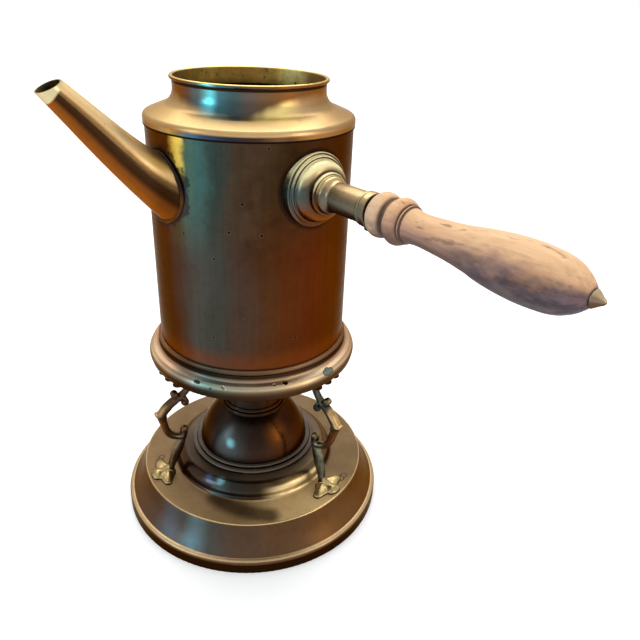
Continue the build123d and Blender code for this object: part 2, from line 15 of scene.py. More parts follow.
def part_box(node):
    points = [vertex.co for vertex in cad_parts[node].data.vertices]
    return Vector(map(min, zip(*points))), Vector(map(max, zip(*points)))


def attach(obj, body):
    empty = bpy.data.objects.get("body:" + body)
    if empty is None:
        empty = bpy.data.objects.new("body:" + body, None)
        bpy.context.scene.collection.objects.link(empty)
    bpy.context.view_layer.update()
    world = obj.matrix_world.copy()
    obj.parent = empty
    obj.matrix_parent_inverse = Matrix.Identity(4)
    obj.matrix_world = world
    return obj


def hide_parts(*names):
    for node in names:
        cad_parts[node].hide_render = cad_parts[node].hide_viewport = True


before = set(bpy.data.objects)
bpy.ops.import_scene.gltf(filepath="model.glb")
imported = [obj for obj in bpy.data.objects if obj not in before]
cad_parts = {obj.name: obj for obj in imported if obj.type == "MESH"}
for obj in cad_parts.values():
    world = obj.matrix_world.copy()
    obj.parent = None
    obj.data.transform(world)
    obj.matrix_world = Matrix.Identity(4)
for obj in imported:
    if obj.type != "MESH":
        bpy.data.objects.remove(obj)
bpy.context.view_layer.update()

# %% [markdown]
# The script works in metres, but a coffee maker is easier to think of in millimetres.
# A small helper turns one into the other. The second helper reads a piece's box from the frame, so
# that anything made here is placed by the pieces that carry it.

# %% Millimetres and boxes
MM = 0.001


def low(node):
    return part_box(node)[0]


def high(node):
    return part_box(node)[1]


pot_radius = high("pot_body").x
handle_height = (low("handle_rosette").z + high("handle_rosette").z) / 2
print(f"pot radius {pot_radius / MM:.1f} mm, handle {handle_height / MM:.1f} mm above the table")

# %% [markdown]
# The floor, the room and every finish are trees of shader nodes. Three helpers save most of the
# wiring: one sets an input or links it, one makes a node and feeds it, and one lays colours along a
# value that goes from 0 to 1. A fourth tells how large a tree has grown.

# %% Helpers for shader nodes
def feed(tree, socket, value):
    """Sets a socket to a number or a colour, or links it to what makes one."""
    if isinstance(value, tuple):
        socket.default_value = (*value, 1) if len(socket.default_value) == 4 else value
    elif isinstance(value, (int, float)):
        socket.default_value = value
    else:
        tree.links.new(value, socket)


def wire(tree, kind, settings=(), **inputs):
    """The outputs of a new node. Inputs go by number, as i0 and i1, or by name with _ for a space."""
    node = tree.nodes.new(kind)
    for name, value in settings:
        setattr(node, name, value)
    for name, value in inputs.items():
        key = int(name[1:]) if name[0] == "i" and name[1:].isdigit() else name.replace("_", " ")
        feed(tree, node.inputs[key], value)
    return node.outputs


def ramp(tree, value, stops, interpolation="LINEAR"):
    """A run of colours. A stop is a value from 0 to 1 with its colour."""
    node = tree.nodes.new("ShaderNodeValToRGB")
    node.color_ramp.interpolation = interpolation
    while len(node.color_ramp.elements) < len(stops):
        node.color_ramp.elements.new(0.5)
    for element, (at, color) in zip(node.color_ramp.elements, stops):
        element.position = at
        element.color = (*color, 1)
    feed(tree, node.inputs[0], value)
    return node.outputs[0]


def tell(**trees):
    for name, tree in trees.items():
        print(f"{name}: {len(tree.nodes)} nodes")


# %% [markdown]
# ## The camera
# The photograph was taken by hand from about 0.38 m away, above the rim and half way between the
# spout and the handle. A lens of about 36 mm on a 36 mm sensor has that much perspective: the pot's
# sides draw together downwards. The camera leans a little, as a hand does. Its place is worked out
# from how far it stands, how high, and which way it is turned about the pot.

# %% Place the camera
camera_turn = math.radians(-35)
camera_distance = 0.3822
camera_height = 0.3363
camera_dip = 0.47421
camera_aside = 0.11937
camera_roll = -0.04344
camera_lens = 35.84

camera_data = bpy.data.cameras.new("photo_camera")
camera_data.lens = camera_lens
camera_data.sensor_width = 36
camera_data.shift_x = -0.001
camera_data.shift_y = -0.0058
camera_data.clip_start = 0.01
camera = bpy.data.objects.new("photo_camera", camera_data)
bpy.context.scene.collection.objects.link(camera)
bpy.context.scene.camera = camera

towards_pot = camera_turn + math.pi - camera_aside
forward = Vector((
    math.cos(towards_pot) * math.cos(camera_dip),
    math.sin(towards_pot) * math.cos(camera_dip),
    -math.sin(camera_dip),
))
level_right = forward.cross(Vector((0, 0, 1))).normalized()
level_up = level_right.cross(forward)
camera_right = level_right * math.cos(camera_roll) - level_up * math.sin(camera_roll)
camera_up = level_right * math.sin(camera_roll) + level_up * math.cos(camera_roll)
camera.matrix_world = Matrix.Translation((
    camera_distance * math.cos(camera_turn),
    camera_distance * math.sin(camera_turn),
    camera_height,
)) @ Matrix((camera_right, camera_up, -forward)).transposed().to_4x4()
print("camera at", tuple(round(value, 3) for value in camera.location))

# %% [markdown]
# ## Floor and light
# Metal shows its surroundings, so the studio matters as much as the finish. The floor is plain and
# pale and runs far back. A broad soft light hangs above it, so that the tops of things catch it. Two
# tall soft lamps stand left and right, as windows would: the left one is a little cool, the right one
# a little warm. The floor glows a little too, but only as the camera and things that mirror see it.

# %% Lay the floor
floor_half = 40.0
floor_corners = [(x * floor_half, y * floor_half, 0) for x, y in ((-1, -1), (1, -1), (1, 1), (-1, 1))]
floor_mesh = bpy.data.meshes.new("floor")
floor_mesh.from_pydata(floor_corners, [], [(0, 1, 2, 3)])
floor = bpy.data.objects.new("floor", floor_mesh)
bpy.context.scene.collection.objects.link(floor)
pale_floor = bpy.data.materials.new("pale_floor")
pale_floor.use_nodes = True
floor_mesh.materials.append(pale_floor)

floor_tree = pale_floor.node_tree
rays = wire(floor_tree, "ShaderNodeLightPath")
either = [("operation", "MAXIMUM")]
seen = wire(floor_tree, "ShaderNodeMath", either, i0=rays["Is Camera Ray"], i1=rays["Is Glossy Ray"])
glow = wire(floor_tree, "ShaderNodeMath", [("operation", "MULTIPLY")], i0=seen[0], i1=0.26)
floor_look = {
    "Base Color": (0.84, 0.84, 0.84), "Roughness": 0.9, "Specular IOR Level": 0.1,
    "Emission Color": (1, 1, 1), "Emission Strength": glow[0],
}
for name, value in floor_look.items():
    feed(floor_tree, floor_tree.nodes["Principled BSDF"].inputs[name], value)
print(f"floor: {2 * floor_half:.0f} m wide, {len(floor_tree.nodes)} nodes in its material")

# %% Hang the lamps
def soft_lamp(name, turn, distance, height, width, tall, power, color=(1, 1, 1)):
    """A rectangular lamp that stands at a turn about the pot and faces its middle."""
    data = bpy.data.lights.new(name, "AREA")
    data.shape = "RECTANGLE"
    data.size = width
    data.size_y = tall
    data.energy = power
    data.color = color
    lamp = bpy.data.objects.new(name, data)
    angle = math.radians(turn)
    lamp.location = (distance * math.cos(angle), distance * math.sin(angle), height)
    aim = Vector((0, 0, 0.17)) - lamp.location
    lamp.rotation_mode = "QUATERNION"
    lamp.rotation_quaternion = aim.to_track_quat("-Z", "Y")
    bpy.context.scene.collection.objects.link(lamp)
    print(f"{name}: {power} W, {distance:.1f} m away")
    return lamp


soft_lamp("left_window", -98, 1.5, 0.62, 0.24, 0.8, 5, (0.60, 0.90, 1.0))
soft_lamp("right_window", 22, 1.5, 0.62, 0.30, 0.8, 3, (1.0, 0.90, 0.74))

overhead_data = bpy.data.lights.new("overhead", "SUN")
overhead_data.energy = 1.7
overhead_data.angle = math.radians(56)
overhead = bpy.data.objects.new("overhead", overhead_data)
overhead.rotation_mode = "QUATERNION"
overhead.rotation_quaternion = Vector((-0.48, 0.34, 0.81)).to_track_quat("Z", "Y")
bpy.context.scene.collection.objects.link(overhead)

# %% [markdown]
# The room is a sky without a sun: pale at the horizon and dimmer above, which gives rounded metal its
# dark upper bands.

# %% Paint the room
room = bpy.data.worlds.new("studio_room")
room.use_nodes = True
room_tree = room.node_tree
view_way = wire(room_tree, "ShaderNodeTexCoord")["Generated"]
rise = wire(room_tree, "ShaderNodeSeparateXYZ", i0=view_way)[2]
horizon_to_sky = ramp(room_tree, rise, [(0.10, (1, 1, 1)), (0.42, (0.84, 0.84, 0.84))])
feed(room_tree, room_tree.nodes["Background"].inputs["Color"], horizon_to_sky)
bpy.context.scene.world = room
bpy.context.scene.view_settings.view_transform = "Standard"
tell(room=room_tree)

# %% [markdown]
# ## The cast legs
# Each leg is one small brass casting, poured from a wax model: a bulged stem on a leafy foot, an open
# scroll with a pointed knee, and a neck that carries a cross of two knobs. The wax worker would roll
# each limb and press it onto the next, and that is also the easy way here: every limb is a tube of
# changing width, all of them go into one mesh, and a voxel remesh melts them together. First come the
# few moves that every form below is made with: a curve, a loop of points, and a skin over loops.

# %% Curves, loops and skins
def curve_point(before, start, stop, after, t):
    """The place at t between start and stop, on a curve that passes through all four."""
    return 0.5 * (
        2 * start + (stop - before) * t + (2 * before - 5 * start + 4 * stop - after) * t * t
        + (3 * start - before - 3 * stop + after) * t * t * t
    )


def smooth_path(points, steps=7):
    """Places on a curve through all the stations, with so many steps from each to the next."""
    stations = [Vector(point) for point in (points[0], *points, points[-1])]
    spans = [stations[index:index + 4] for index in range(len(points) - 1)]
    return [curve_point(*span, step / steps) for span in spans for step in range(steps)] + [stations[-1]]


def angles_of(sides):
    return [2 * math.pi * turn / sides for turn in range(sides)]


def bridge(form, first, second, shift=0):
    """Four-sided faces from one loop of points to the next."""
    sides = len(first)
    for turn in range(sides):
        after = (turn + 1) % sides
        far, near = second[(after + shift) % sides], second[(turn + shift) % sides]
        form.faces.new((first[turn], first[after], far, near))


def cap_ends(form, loops):
    form.faces.new(loops[0][::-1])
    form.faces.new(loops[-1])


def skin(form, loops):
    """Bridges a row of loops and caps both ends."""
    for first, second in zip(loops, loops[1:]):
        bridge(form, first, second)
    cap_ends(form, loops)


def as_object(name, form):
    """Turns a finished form into a smooth object in the scene."""
    mesh = bpy.data.meshes.new(name)
    bmesh.ops.recalc_face_normals(form, faces=form.faces)
    form.to_mesh(mesh)
    form.free()
    mesh.polygons.foreach_set("use_smooth", [True] * len(mesh.polygons))
    piece = bpy.data.objects.new(name, mesh)
    bpy.context.scene.collection.objects.link(piece)
    return piece


# %% Roll one limb of wax
cap_angles = [math.radians(angle) for angle in (40, 70, 86)]
limb_squareness = 3


def wax_limb(wax, points, depth, place, sides=16):
    """Adds a closed limb. points are (out, up, half width) in mm, depth is its width across the leg."""
    rows = smooth_path(points)
    caps = []
    for row, away in ((rows[0], rows[0] - rows[1]), (rows[-1], rows[-1] - rows[-2])):
        way = Vector((away.x, away.y, 0)).normalized()
        cap = []
        for angle in cap_angles:
            shrink = math.cos(angle)
            move = way * row.z * math.sin(angle)
            cap.append((Vector((row.x + move.x, row.y + move.y, row.z * shrink)), shrink))
        caps.append(cap)
    stations = caps[0][::-1] + [(row, 1.0) for row in rows] + caps[1]
    loops = []
    for index, (row, shrink) in enumerate(stations):
        before, after = stations[max(index - 1, 0)][0], stations[min(index + 1, len(stations) - 1)][0]
        along = Vector((after.x - before.x, after.y - before.y, 0)).normalized()
        side = Vector((-along.y, along.x, 0))
        loop = []
        for angle in angles_of(sides):
            across, deep = math.cos(angle), math.sin(angle)
            power = limb_squareness
            square = 1 / (abs(across) ** power + abs(deep) ** power) ** (1 / power)
            flat = side * across * square * row.z
            thick = deep * square * shrink * depth / 2
            loop.append(wax.verts.new(place(row.x + flat.x, thick, row.y + flat.y)))
        loops.append(loop)
    skin(wax, loops)


# %% [markdown]
# The foot spreads into a three-lobed leaf, so it is drawn as the outline that it has on the shelf, and
# domed from there.

# %% Press the foot
def wax_foot(wax, outline, middle, rise, place, rows=9):
    """Adds a low domed foot inside a closed outline of (out, across), with three swelling lobes."""
    corners = [Vector((*corner, 0)) for corner in outline]
    middle = Vector((*middle, 0))
    rim = []
    for index in range(len(corners)):
        span = [corners[(index + step) % len(corners)] for step in (-1, 0, 1, 2)]
        rim += [curve_point(*span, t) for t in (0.0, 0.25, 0.5, 0.75)]
    loops = [[wax.verts.new(place(at.x, at.y, -0.9)) for at in rim]]
    for row in range(rows):
        share = 1 - row / rows
        level = rise * (1 - share ** 2.6) ** 0.5
        swelling = 1.1 * math.sin(math.pi * share) ** 1.5
        loop = []
        for at in rim:
            lobe = 0.5 + 0.5 * math.cos(3 * math.atan2(at.y - middle.y, at.x - middle.x))
            spread = middle + (at - middle) * share
            loop.append(wax.verts.new(place(spread.x, spread.y, level + lobe * swelling)))
        loops.append(loop)
    skin(wax, loops)


# %% [markdown]
# Under the ring the neck ends in a leaf of three round lobes that point down, and a stud goes from
# the foot down through the shelf. A lobe is a low dome, and a rod is a row of rings along its path.

# %% Lobes and rods
def wax_lobe(wax, out, bottom, radius, rise, place, sides=20, rows=7):
    """Adds a low domed lobe with a shallow underside, so that it melts in well."""
    loops = []
    for row in range(1, rows * 2):
        tilt = math.pi * row / (rows * 2) - math.pi / 2
        level = bottom + rise * math.sin(tilt) * (1.0 if tilt > 0 else 0.35)
        reach = radius * math.cos(tilt) ** 0.8
        loops.append([
            wax.verts.new(place(out + reach * math.cos(angle), reach * math.sin(angle), level))
            for angle in angles_of(sides)
        ])
    skin(wax, loops)


def wax_rod(wax, places, halves, sides=16):
    """Adds a closed round rod through places in the frame, with half widths in mm."""
    loops = []
    for index, (middle, half) in enumerate(zip(places, halves)):
        along = (places[min(index + 1, len(places) - 1)] - places[max(index - 1, 0)]).normalized()
        side = along.orthogonal().normalized()
        other = along.cross(side)
        loops.append([
            wax.verts.new(middle + (side * math.cos(angle) + other * math.sin(angle)) * half * MM)
            for angle in angles_of(sides)
        ])
    for first, second in zip(loops, loops[1:]):
        shift = min(range(sides), key=lambda turn: (second[turn].co - first[0].co).length)
        bridge(wax, first, second, shift)
    cap_ends(wax, loops)


# %% [markdown]
# The leg is drawn once in its own plane: out is the distance from the pot's axis less that of the
# stem, and up is the height above the base's shelf, both in millimetres. The third number is half the
# limb's width there.

# %% Draw the leg
shelf = 29.5
ring_underside = low("gallery_ring").z / MM
stem_out = 63.4
stem = [
    (0.4, -0.6, 2.9), (0.2, 3, 2.4), (-0.5, 7, 2.2), (-1.7, 12, 2.8), (-3.7, 20, 3.5), (-5.1, 25, 3.1),
    (-6.5, 30, 2.5), (-7.4, 34, 2.4), (-7.2, 38.4, 2.7),
]
scroll = [
    (-7.0, 32.4, 1.8), (-3.4, 32.4, 2.1), (1.2, 34.6, 2.3), (4.8, 39.4, 2.4), (6.8, 45.6, 2.5),
    (8.7, 51.4, 2.7),
]
outer_knob = [(-3.4, 66.0, 1.8), (-0.6, 66.6, 1.7), (1.2, 69.8, 2.6)]
inner_knob = [(-2.4, 67.2, 1.9), (-5.6, 65.2, 1.8), (-6.6, 61.6, 2.8)]
arm = [(9.2, 53.4, 2.8), (6.4, 58.2, 2.9), (2.6, 62.6, 2.5), (-2.6, 66.8, 2.1)]
knee = [(8.0, 51.4, 3.0), (9.8, 53.3, 2.3), (12.6, 54.4, 0.7)]
neck = [(-2.6, 66.8, 2.2), (-6.4, 70.6, 1.9), (-9.2, 75.4, 1.8)]
limbs_and_depths = [
    (stem, 5.6), (scroll, 5.6), (outer_knob, 5.6), (inner_knob, 5.6), (arm, 6.2), (knee, 6.0), (neck, 4.8),
]
neck_top = [(-11.3, 82.9), (-10.7, 86.4)]
neck_top_halves = [1.9, 2.1, 2.8]
foot_outline = [
    (13.7, 0.4), (12.6, 4.6), (9.0, 6.4), (8.2, 9.8), (6.8, 13.4), (3.2, 13.8), (1.4, 10.2), (-0.8, 6.4),
    (-3.2, 2.8), (-3.2, -3.0), (-0.6, -6.6), (1.2, -10.6), (3.2, -14.4), (7.0, -14.0), (8.4, -9.8),
    (9.2, -6.2), (12.4, -4.0),
]
foot_middle, foot_rise = (4.4, -0.2), 2.5
foot_ridge = [(-0.4, 5.5, 2.0), (1.6, 3.4, 2.3), (6.4, 1.4, 1.9), (10.6, 0.7, 1.4)]
leaf_inner, leaf_outer, leaf_thick, leaf_half_angle = 49.6, 64.4, 2.2, 8.6
leaf_low = ring_underside - shelf - leaf_thick
leaf_rib_gap = 3.0
stud_half = 1.9
print(f"leg: {len(limbs_and_depths)} limbs, {ring_underside - shelf:.1f} mm from the shelf to the ring")

# %% [markdown]
# The legs differ only in where they stand, and one is bent. So one function carries a point of the
# drawn leg to its place in the frame: bent in, leaning aside, and turned about the pot.

# %% Place the leg
def leg_place(turn, sway=0.0, bend=0.0):
    """How a leg's own (out, across, up) becomes a place in the frame: bent in, leaning, and turned."""
    height = ring_underside - shelf
    lean = math.atan2((stem_out + neck_top[0][0]) * math.sin(math.radians(sway)), height)
    bend, turn = math.radians(bend), math.radians(turn)

    def place(out, across, up):
        bent_out = out * math.cos(bend) - up * math.sin(bend)
        bent_up = up * math.cos(bend) + out * math.sin(bend)
        x = stem_out + bent_out
        y = across * math.cos(lean) + bent_up * math.sin(lean)
        z = shelf + bent_up * math.cos(lean) - across * math.sin(lean)
        turned = (x * math.cos(turn) - y * math.sin(turn), x * math.sin(turn) + y * math.cos(turn), z)
        return Vector(turned) * MM

    return place


# %% Melt the limbs together
def melted(name, wax, voxel=0.42, smoothing=5):
    """A voxel remesh of the wax, smoothed, as a new object. The voxel's size is in mm."""
    model = as_object(name + "_wax", wax)
    remesh = model.modifiers.new("melt", "REMESH")
    remesh.mode = "VOXEL"
    remesh.voxel_size = voxel * MM
    smooth = model.modifiers.new("smooth", "SMOOTH")
    smooth.factor = 0.5
    smooth.iterations = smoothing
    bpy.context.view_layer.update()
    cast = bpy.data.meshes.new_from_object(model.evaluated_get(bpy.context.evaluated_depsgraph_get()))
    bpy.data.objects.remove(model)
    cast.name = name
    cast.polygons.foreach_set("use_smooth", [True] * len(cast.polygons))
    piece = bpy.data.objects.new(name, cast)
    bpy.context.scene.collection.objects.link(piece)
    return piece


def cast_leg(name, turn, sway, bend):
    wax = bmesh.new()
    place = leg_place(turn, sway, bend)
    upright = leg_place(turn)
    top = leg_place(turn + sway)
    for limb, depth in limbs_and_depths:
        wax_limb(wax, limb, depth, place)
    wax_foot(wax, foot_outline, foot_middle, foot_rise, upright)
    wax_limb(wax, foot_ridge, 4.4, upright)
    leaf_rib = [(out - stem_out, leaf_low + 1.0, 1.05) for out in (leaf_inner + 1, leaf_outer - 1)]
    for across in (-leaf_rib_gap, 0.0, leaf_rib_gap):
        def fanned(out, aside, up, across=across):
            return top(out, aside + across * (1 + (out + 14) * 0.05), up)

        wax_limb(wax, leaf_rib, 4.6, fanned)
    for share in (-0.95, 0, 0.95):
        lobe_place = leg_place(turn + sway + share * leaf_half_angle)
        wax_lobe(wax, leaf_outer - 1.2 - stem_out, leaf_low - 1.0, 3.3, 2.4, lobe_place)
    neck_join = [place(neck[-1][0], 0.0, neck[-1][1])] + [top(out, 0.0, up) for out, up in neck_top]
    wax_rod(wax, neck_join, neck_top_halves)
    stud_low = low(name).z / MM - shelf
    wax_rod(wax, [upright(0, 0, 1.0), upright(0, 0, stud_low + 0.3)], [stud_half, stud_half])
    return melted(name + "_casting", wax)


# %% [markdown]
# Casting leaves a skin in the corners, and wear takes it off whatever stands out. Both can be read
# from the mesh: a point that stands proud of its neighbours is on an edge, one that lies below them is
# in a crease. The two numbers go into a colour attribute that the finish reads.

# %% Measure edges and creases
def read_all(items, field, width, kind=np.float64):
    """One field of every item of a mesh, as rows of so many numbers."""
    values = np.empty(len(items) * width, dtype=kind)
    items.foreach_get(field, values)
    return values.reshape(-1, width)


def mark_wear(piece, spread=3, gain=9000.0):
    """Writes how far each point stands out (red) or lies in a crease (green), from 0 to 1."""
    mesh = piece.data
    at = read_all(mesh.vertices, "co", 3)
    normals = read_all(mesh.vertices, "normal", 3)
    edges = read_all(mesh.edges, "vertices", 2, np.int64)
    degree = np.bincount(edges.ravel(), minlength=len(at)).clip(1)

    def mean_of_neighbours(values):
        total = np.zeros_like(values)
        np.add.at(total, edges[:, 0], values[edges[:, 1]])
        np.add.at(total, edges[:, 1], values[edges[:, 0]])
        return (total.T / degree).T

    soft = at
    for _ in range(spread):
        soft = mean_of_neighbours(soft)
    proud = mean_of_neighbours(((at - soft) * normals).sum(axis=1))
    colors = np.zeros((len(at), 4), dtype=np.float32)
    colors[:, 0] = np.clip(proud * gain, 0, 1)
    colors[:, 1] = np.clip(-proud * gain, 0, 1)
    colors[:, 3] = 1
    wear = mesh.color_attributes.new("wear", "FLOAT_COLOR", "POINT")
    wear.data.foreach_set("color", colors.ravel())
    standing, creased = (colors[:, :2] > 0.5).mean(axis=0)
    print(f"{piece.name}: {len(at)} points, {standing:.0%} proud, {creased:.0%} in creases")


# %% [markdown]
# Each leg is given by its turn about the pot. The one by the spout has been knocked: it leans a few
# degrees aside and is bent in at the top, as in the photograph.

# %% Cast the three legs
legs = {
    "leg_by_the_spout": (-103.0, 12.0, 4.6),
    "leg_by_the_handle": (12.3, 0.0, 0.0),
    "leg_at_the_back": (134.7, 0.0, 0.0),
}
leg_pieces = []
for name, (turn, sway, bend) in legs.items():
    casting = cast_leg(name, turn, sway, bend)
    mark_wear(casting)
    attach(casting, "stand")
    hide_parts(name)
    leg_pieces.append(casting)

# %% [markdown]
# ## The turned grip
# The grip is one piece of dry fruit wood, turned to two beads and a long swell. On a lathe it is a
# profile and a spindle, and here too: the profile is a list of heights from the socket's mouth and
# radii, with the arcs of the beads written as arcs.

# %% Draw the grip's profile
socket_mouth = high("handle_socket").x / MM
handle_level = handle_height / MM
grip_droop = math.radians(1.3)


def bead(start, stop, foot_start, foot_stop, crown, steps=12):
    """Stations of a bead from start to stop along the grip."""
    stations = []
    for step in range(steps + 1):
        share = step / steps
        foot = foot_start + (foot_stop - foot_start) * share
        radius = foot + (crown - foot) * math.sin(math.pi * share) ** 0.75
        stations.append((start + (stop - start) * share, radius))
    return stations


grip_profile = [(0.4, 0.0), (0.4, 5.8), (0.4, 7.0), (1.0, 7.9)]
grip_profile += bead(1.2, 11.0, 8.2, 9.6, 11.4)
grip_profile += [(11.4, 9.0), (12.2, 8.55), (13.0, 8.9), (13.4, 9.5)]
grip_profile += bead(13.6, 21.4, 9.8, 9.7, 11.6)
grip_profile += [(21.6, 9.2), (21.9, 8.8), (22.3, 8.8), (22.5, 9.35), (23.3, 9.35), (23.6, 8.7), (24.0, 8.4)]
swell = [
    (24.4, 8.45), (30.5, 7.75), (41.0, 8.35), (53.5, 9.5), (68.0, 11.9), (78.0, 13.05), (86.2, 13.4),
    (93.5, 13.15), (99.3, 12.6), (103.6, 11.65), (106.8, 10.3), (110.0, 8.45), (112.2, 6.7), (113.8, 5.1),
]
swell_rows = smooth_path([(height, radius, 0.0) for height, radius in swell], steps=9)
grip_profile += [(row.x, row.y) for row in swell_rows] + [(114.4, 4.3), (114.6, 3.5), (114.6, 0.0)]
thickest = max(radius for height, radius in grip_profile)
print(f"grip: {grip_profile[-1][0]:.1f} mm long, {2 * thickest:.1f} mm thick")

# %% [markdown]
# Dry wood isn't quite round and has been knocked, so each ring is pushed in and out a little by soft
# noise. The grip droops a little on its socket, as the one in the photograph does.

# %% Turn the grip
def about_handle(height, radius, angle):
    """A place about the drooping axis of the grip: height from the mouth, radius and turn, in mm."""
    out = height * math.cos(grip_droop) + radius * math.sin(angle) * math.sin(grip_droop)
    up = radius * math.sin(angle) * math.cos(grip_droop) - height * math.sin(grip_droop)
    return Vector((socket_mouth + out, radius * math.cos(angle), handle_level + up)) * MM


def wood_unevenness(height, radius, angle):
    """How far the grip's surface stands out at a place, in mm: slow warping, and shallow knocks."""
    if radius < 6.0:
        return 0.0
    at = Vector((height * 0.035, math.cos(angle) * radius * 0.06, math.sin(angle) * radius * 0.06))
    knocks = noise.noise(at * 5.0 + Vector((4.0, 9.0, 2.0)))
    return 0.16 * noise.noise(at) - 0.30 * max(knocks - 0.18, 0.0)


def fan(form, loop, tip):
    """Three-sided faces from a loop of points to one point."""
    for turn, point in enumerate(loop):
        form.faces.new((point, loop[(turn + 1) % len(loop)], tip))


def turned_grip(profile, sides=112):
    form = bmesh.new()
    loops = []
    for height, radius in profile[1:-1]:
        loops.append([
            form.verts.new(about_handle(height, radius + wood_unevenness(height, radius, angle), angle))
            for angle in angles_of(sides)
        ])
    for first, second in zip(loops, loops[1:]):
        bridge(form, first, second)
    near_tip, far_tip = (form.verts.new(about_handle(profile[end][0], 0.0, 0.0)) for end in (0, -1))
    fan(form, loops[0][::-1], near_tip)
    fan(form, loops[-1], far_tip)
    return as_object("turned_grip", form)


grip = turned_grip(grip_profile)
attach(grip, "pot")
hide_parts("wooden_grip")
print(f"turned_grip: {len(grip.data.vertices)} points")

# %% [markdown]
# ## Solder round the spout
# The spout is soldered to the body, and the solder drew a dark uneven fillet round its root. Its line
# is where the spout's outside meets the body, which the frame's own mesh gives: of the spout's points
# that lie on the body, the outermost in each direction. A thin closed tube of changing size follows
# that line, half sunk in the corner.

# %% Draw the solder
solder_half, solder_change, solder_out = 0.95, 0.45, 0.25
solder_sides = 10


def spout_root_line(count=72):
    """Points on the body's surface round the spout's root, in order of turn, in metres."""
    points = [vertex.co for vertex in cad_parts["spout"].data.vertices]
    at_body = [p for p in points if abs(math.hypot(p.x, p.y) - pot_radius) < 0.0002]
    level = (max(p.z for p in at_body) + min(p.z for p in at_body)) / 2
    from_middle = [Vector((p.x, p.z - level)) for p in at_body]
    groove_shade_line = []
    for angle in angles_of(count):
        way = Vector((math.cos(angle), math.sin(angle)))
        furthest = max(step.dot(way) for step in from_middle if step.normalized().dot(way) > 0.985)
        x = furthest * math.cos(angle)
        groove_shade_line.append(Vector((x, -math.sqrt(pot_radius ** 2 - x ** 2), level + furthest * math.sin(angle))))
    return [(groove_shade_line[i - 1] + groove_shade_line[i] * 2 + groove_shade_line[(i + 1) % count]) / 4 for i in range(count)], level


root_line, root_level = spout_root_line()
solder = bmesh.new()
loops = []
for index, at in enumerate(root_line):
    along = (root_line[(index + 1) % len(root_line)] - root_line[index - 1]).normalized()
    outward = Vector((at.x, at.y, 0)).normalized()
    across = along.cross(outward).normalized()
    half = (solder_half + solder_change * noise.noise(at * 260.0)) * MM
    middle = at + outward * solder_out * MM
    loops.append([
        solder.verts.new(middle + (outward * math.cos(angle) + across * math.sin(angle) * 1.25) * half)
        for angle in angles_of(solder_sides)
    ])
for first, second in zip(loops, loops[1:] + loops[:1]):
    bridge(solder, first, second)
spout_solder = as_object("spout_solder", solder)
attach(spout_solder, "pot")
root_heights = [at.z / MM for at in root_line]
print(f"spout_solder: round a root {max(root_heights) - min(root_heights):.1f} mm high")

# %% [markdown]
# ## A finish is a stack of coats
# Old brass is one metal with many skins: bare metal on the edges, tarnish over the flats, brown and
# green where heat and damp sat. The class below builds such a stack. Each coat takes a mask, which is
# a number that changes over the surface, and mixes a colour, a roughness or a height over what lies
# below. What is the same everywhere goes straight on the shader's own sockets. First come the
# measures of a surface, such as its height and how far it faces up, and the masks made from them.
#
# Colours are written as a paint chart gives them, from 0 to 255, and one helper turns the chart's
# number into the light that the shader wants. A run lays colours along a measure, which is how the
# patina of the pot changes on its way round. Single marks are given by their turn about the pot,
# their distance from its axis, their height and their size.

# %% Measures and masks
def tone(*chart):
    """The light of a colour that is given from 0 to 255."""
    shares = [value / 255 for value in chart]
    return tuple(share / 12.92 if share <= 0.04045 else ((share + 0.055) / 1.055) ** 2.4 for share in shares)


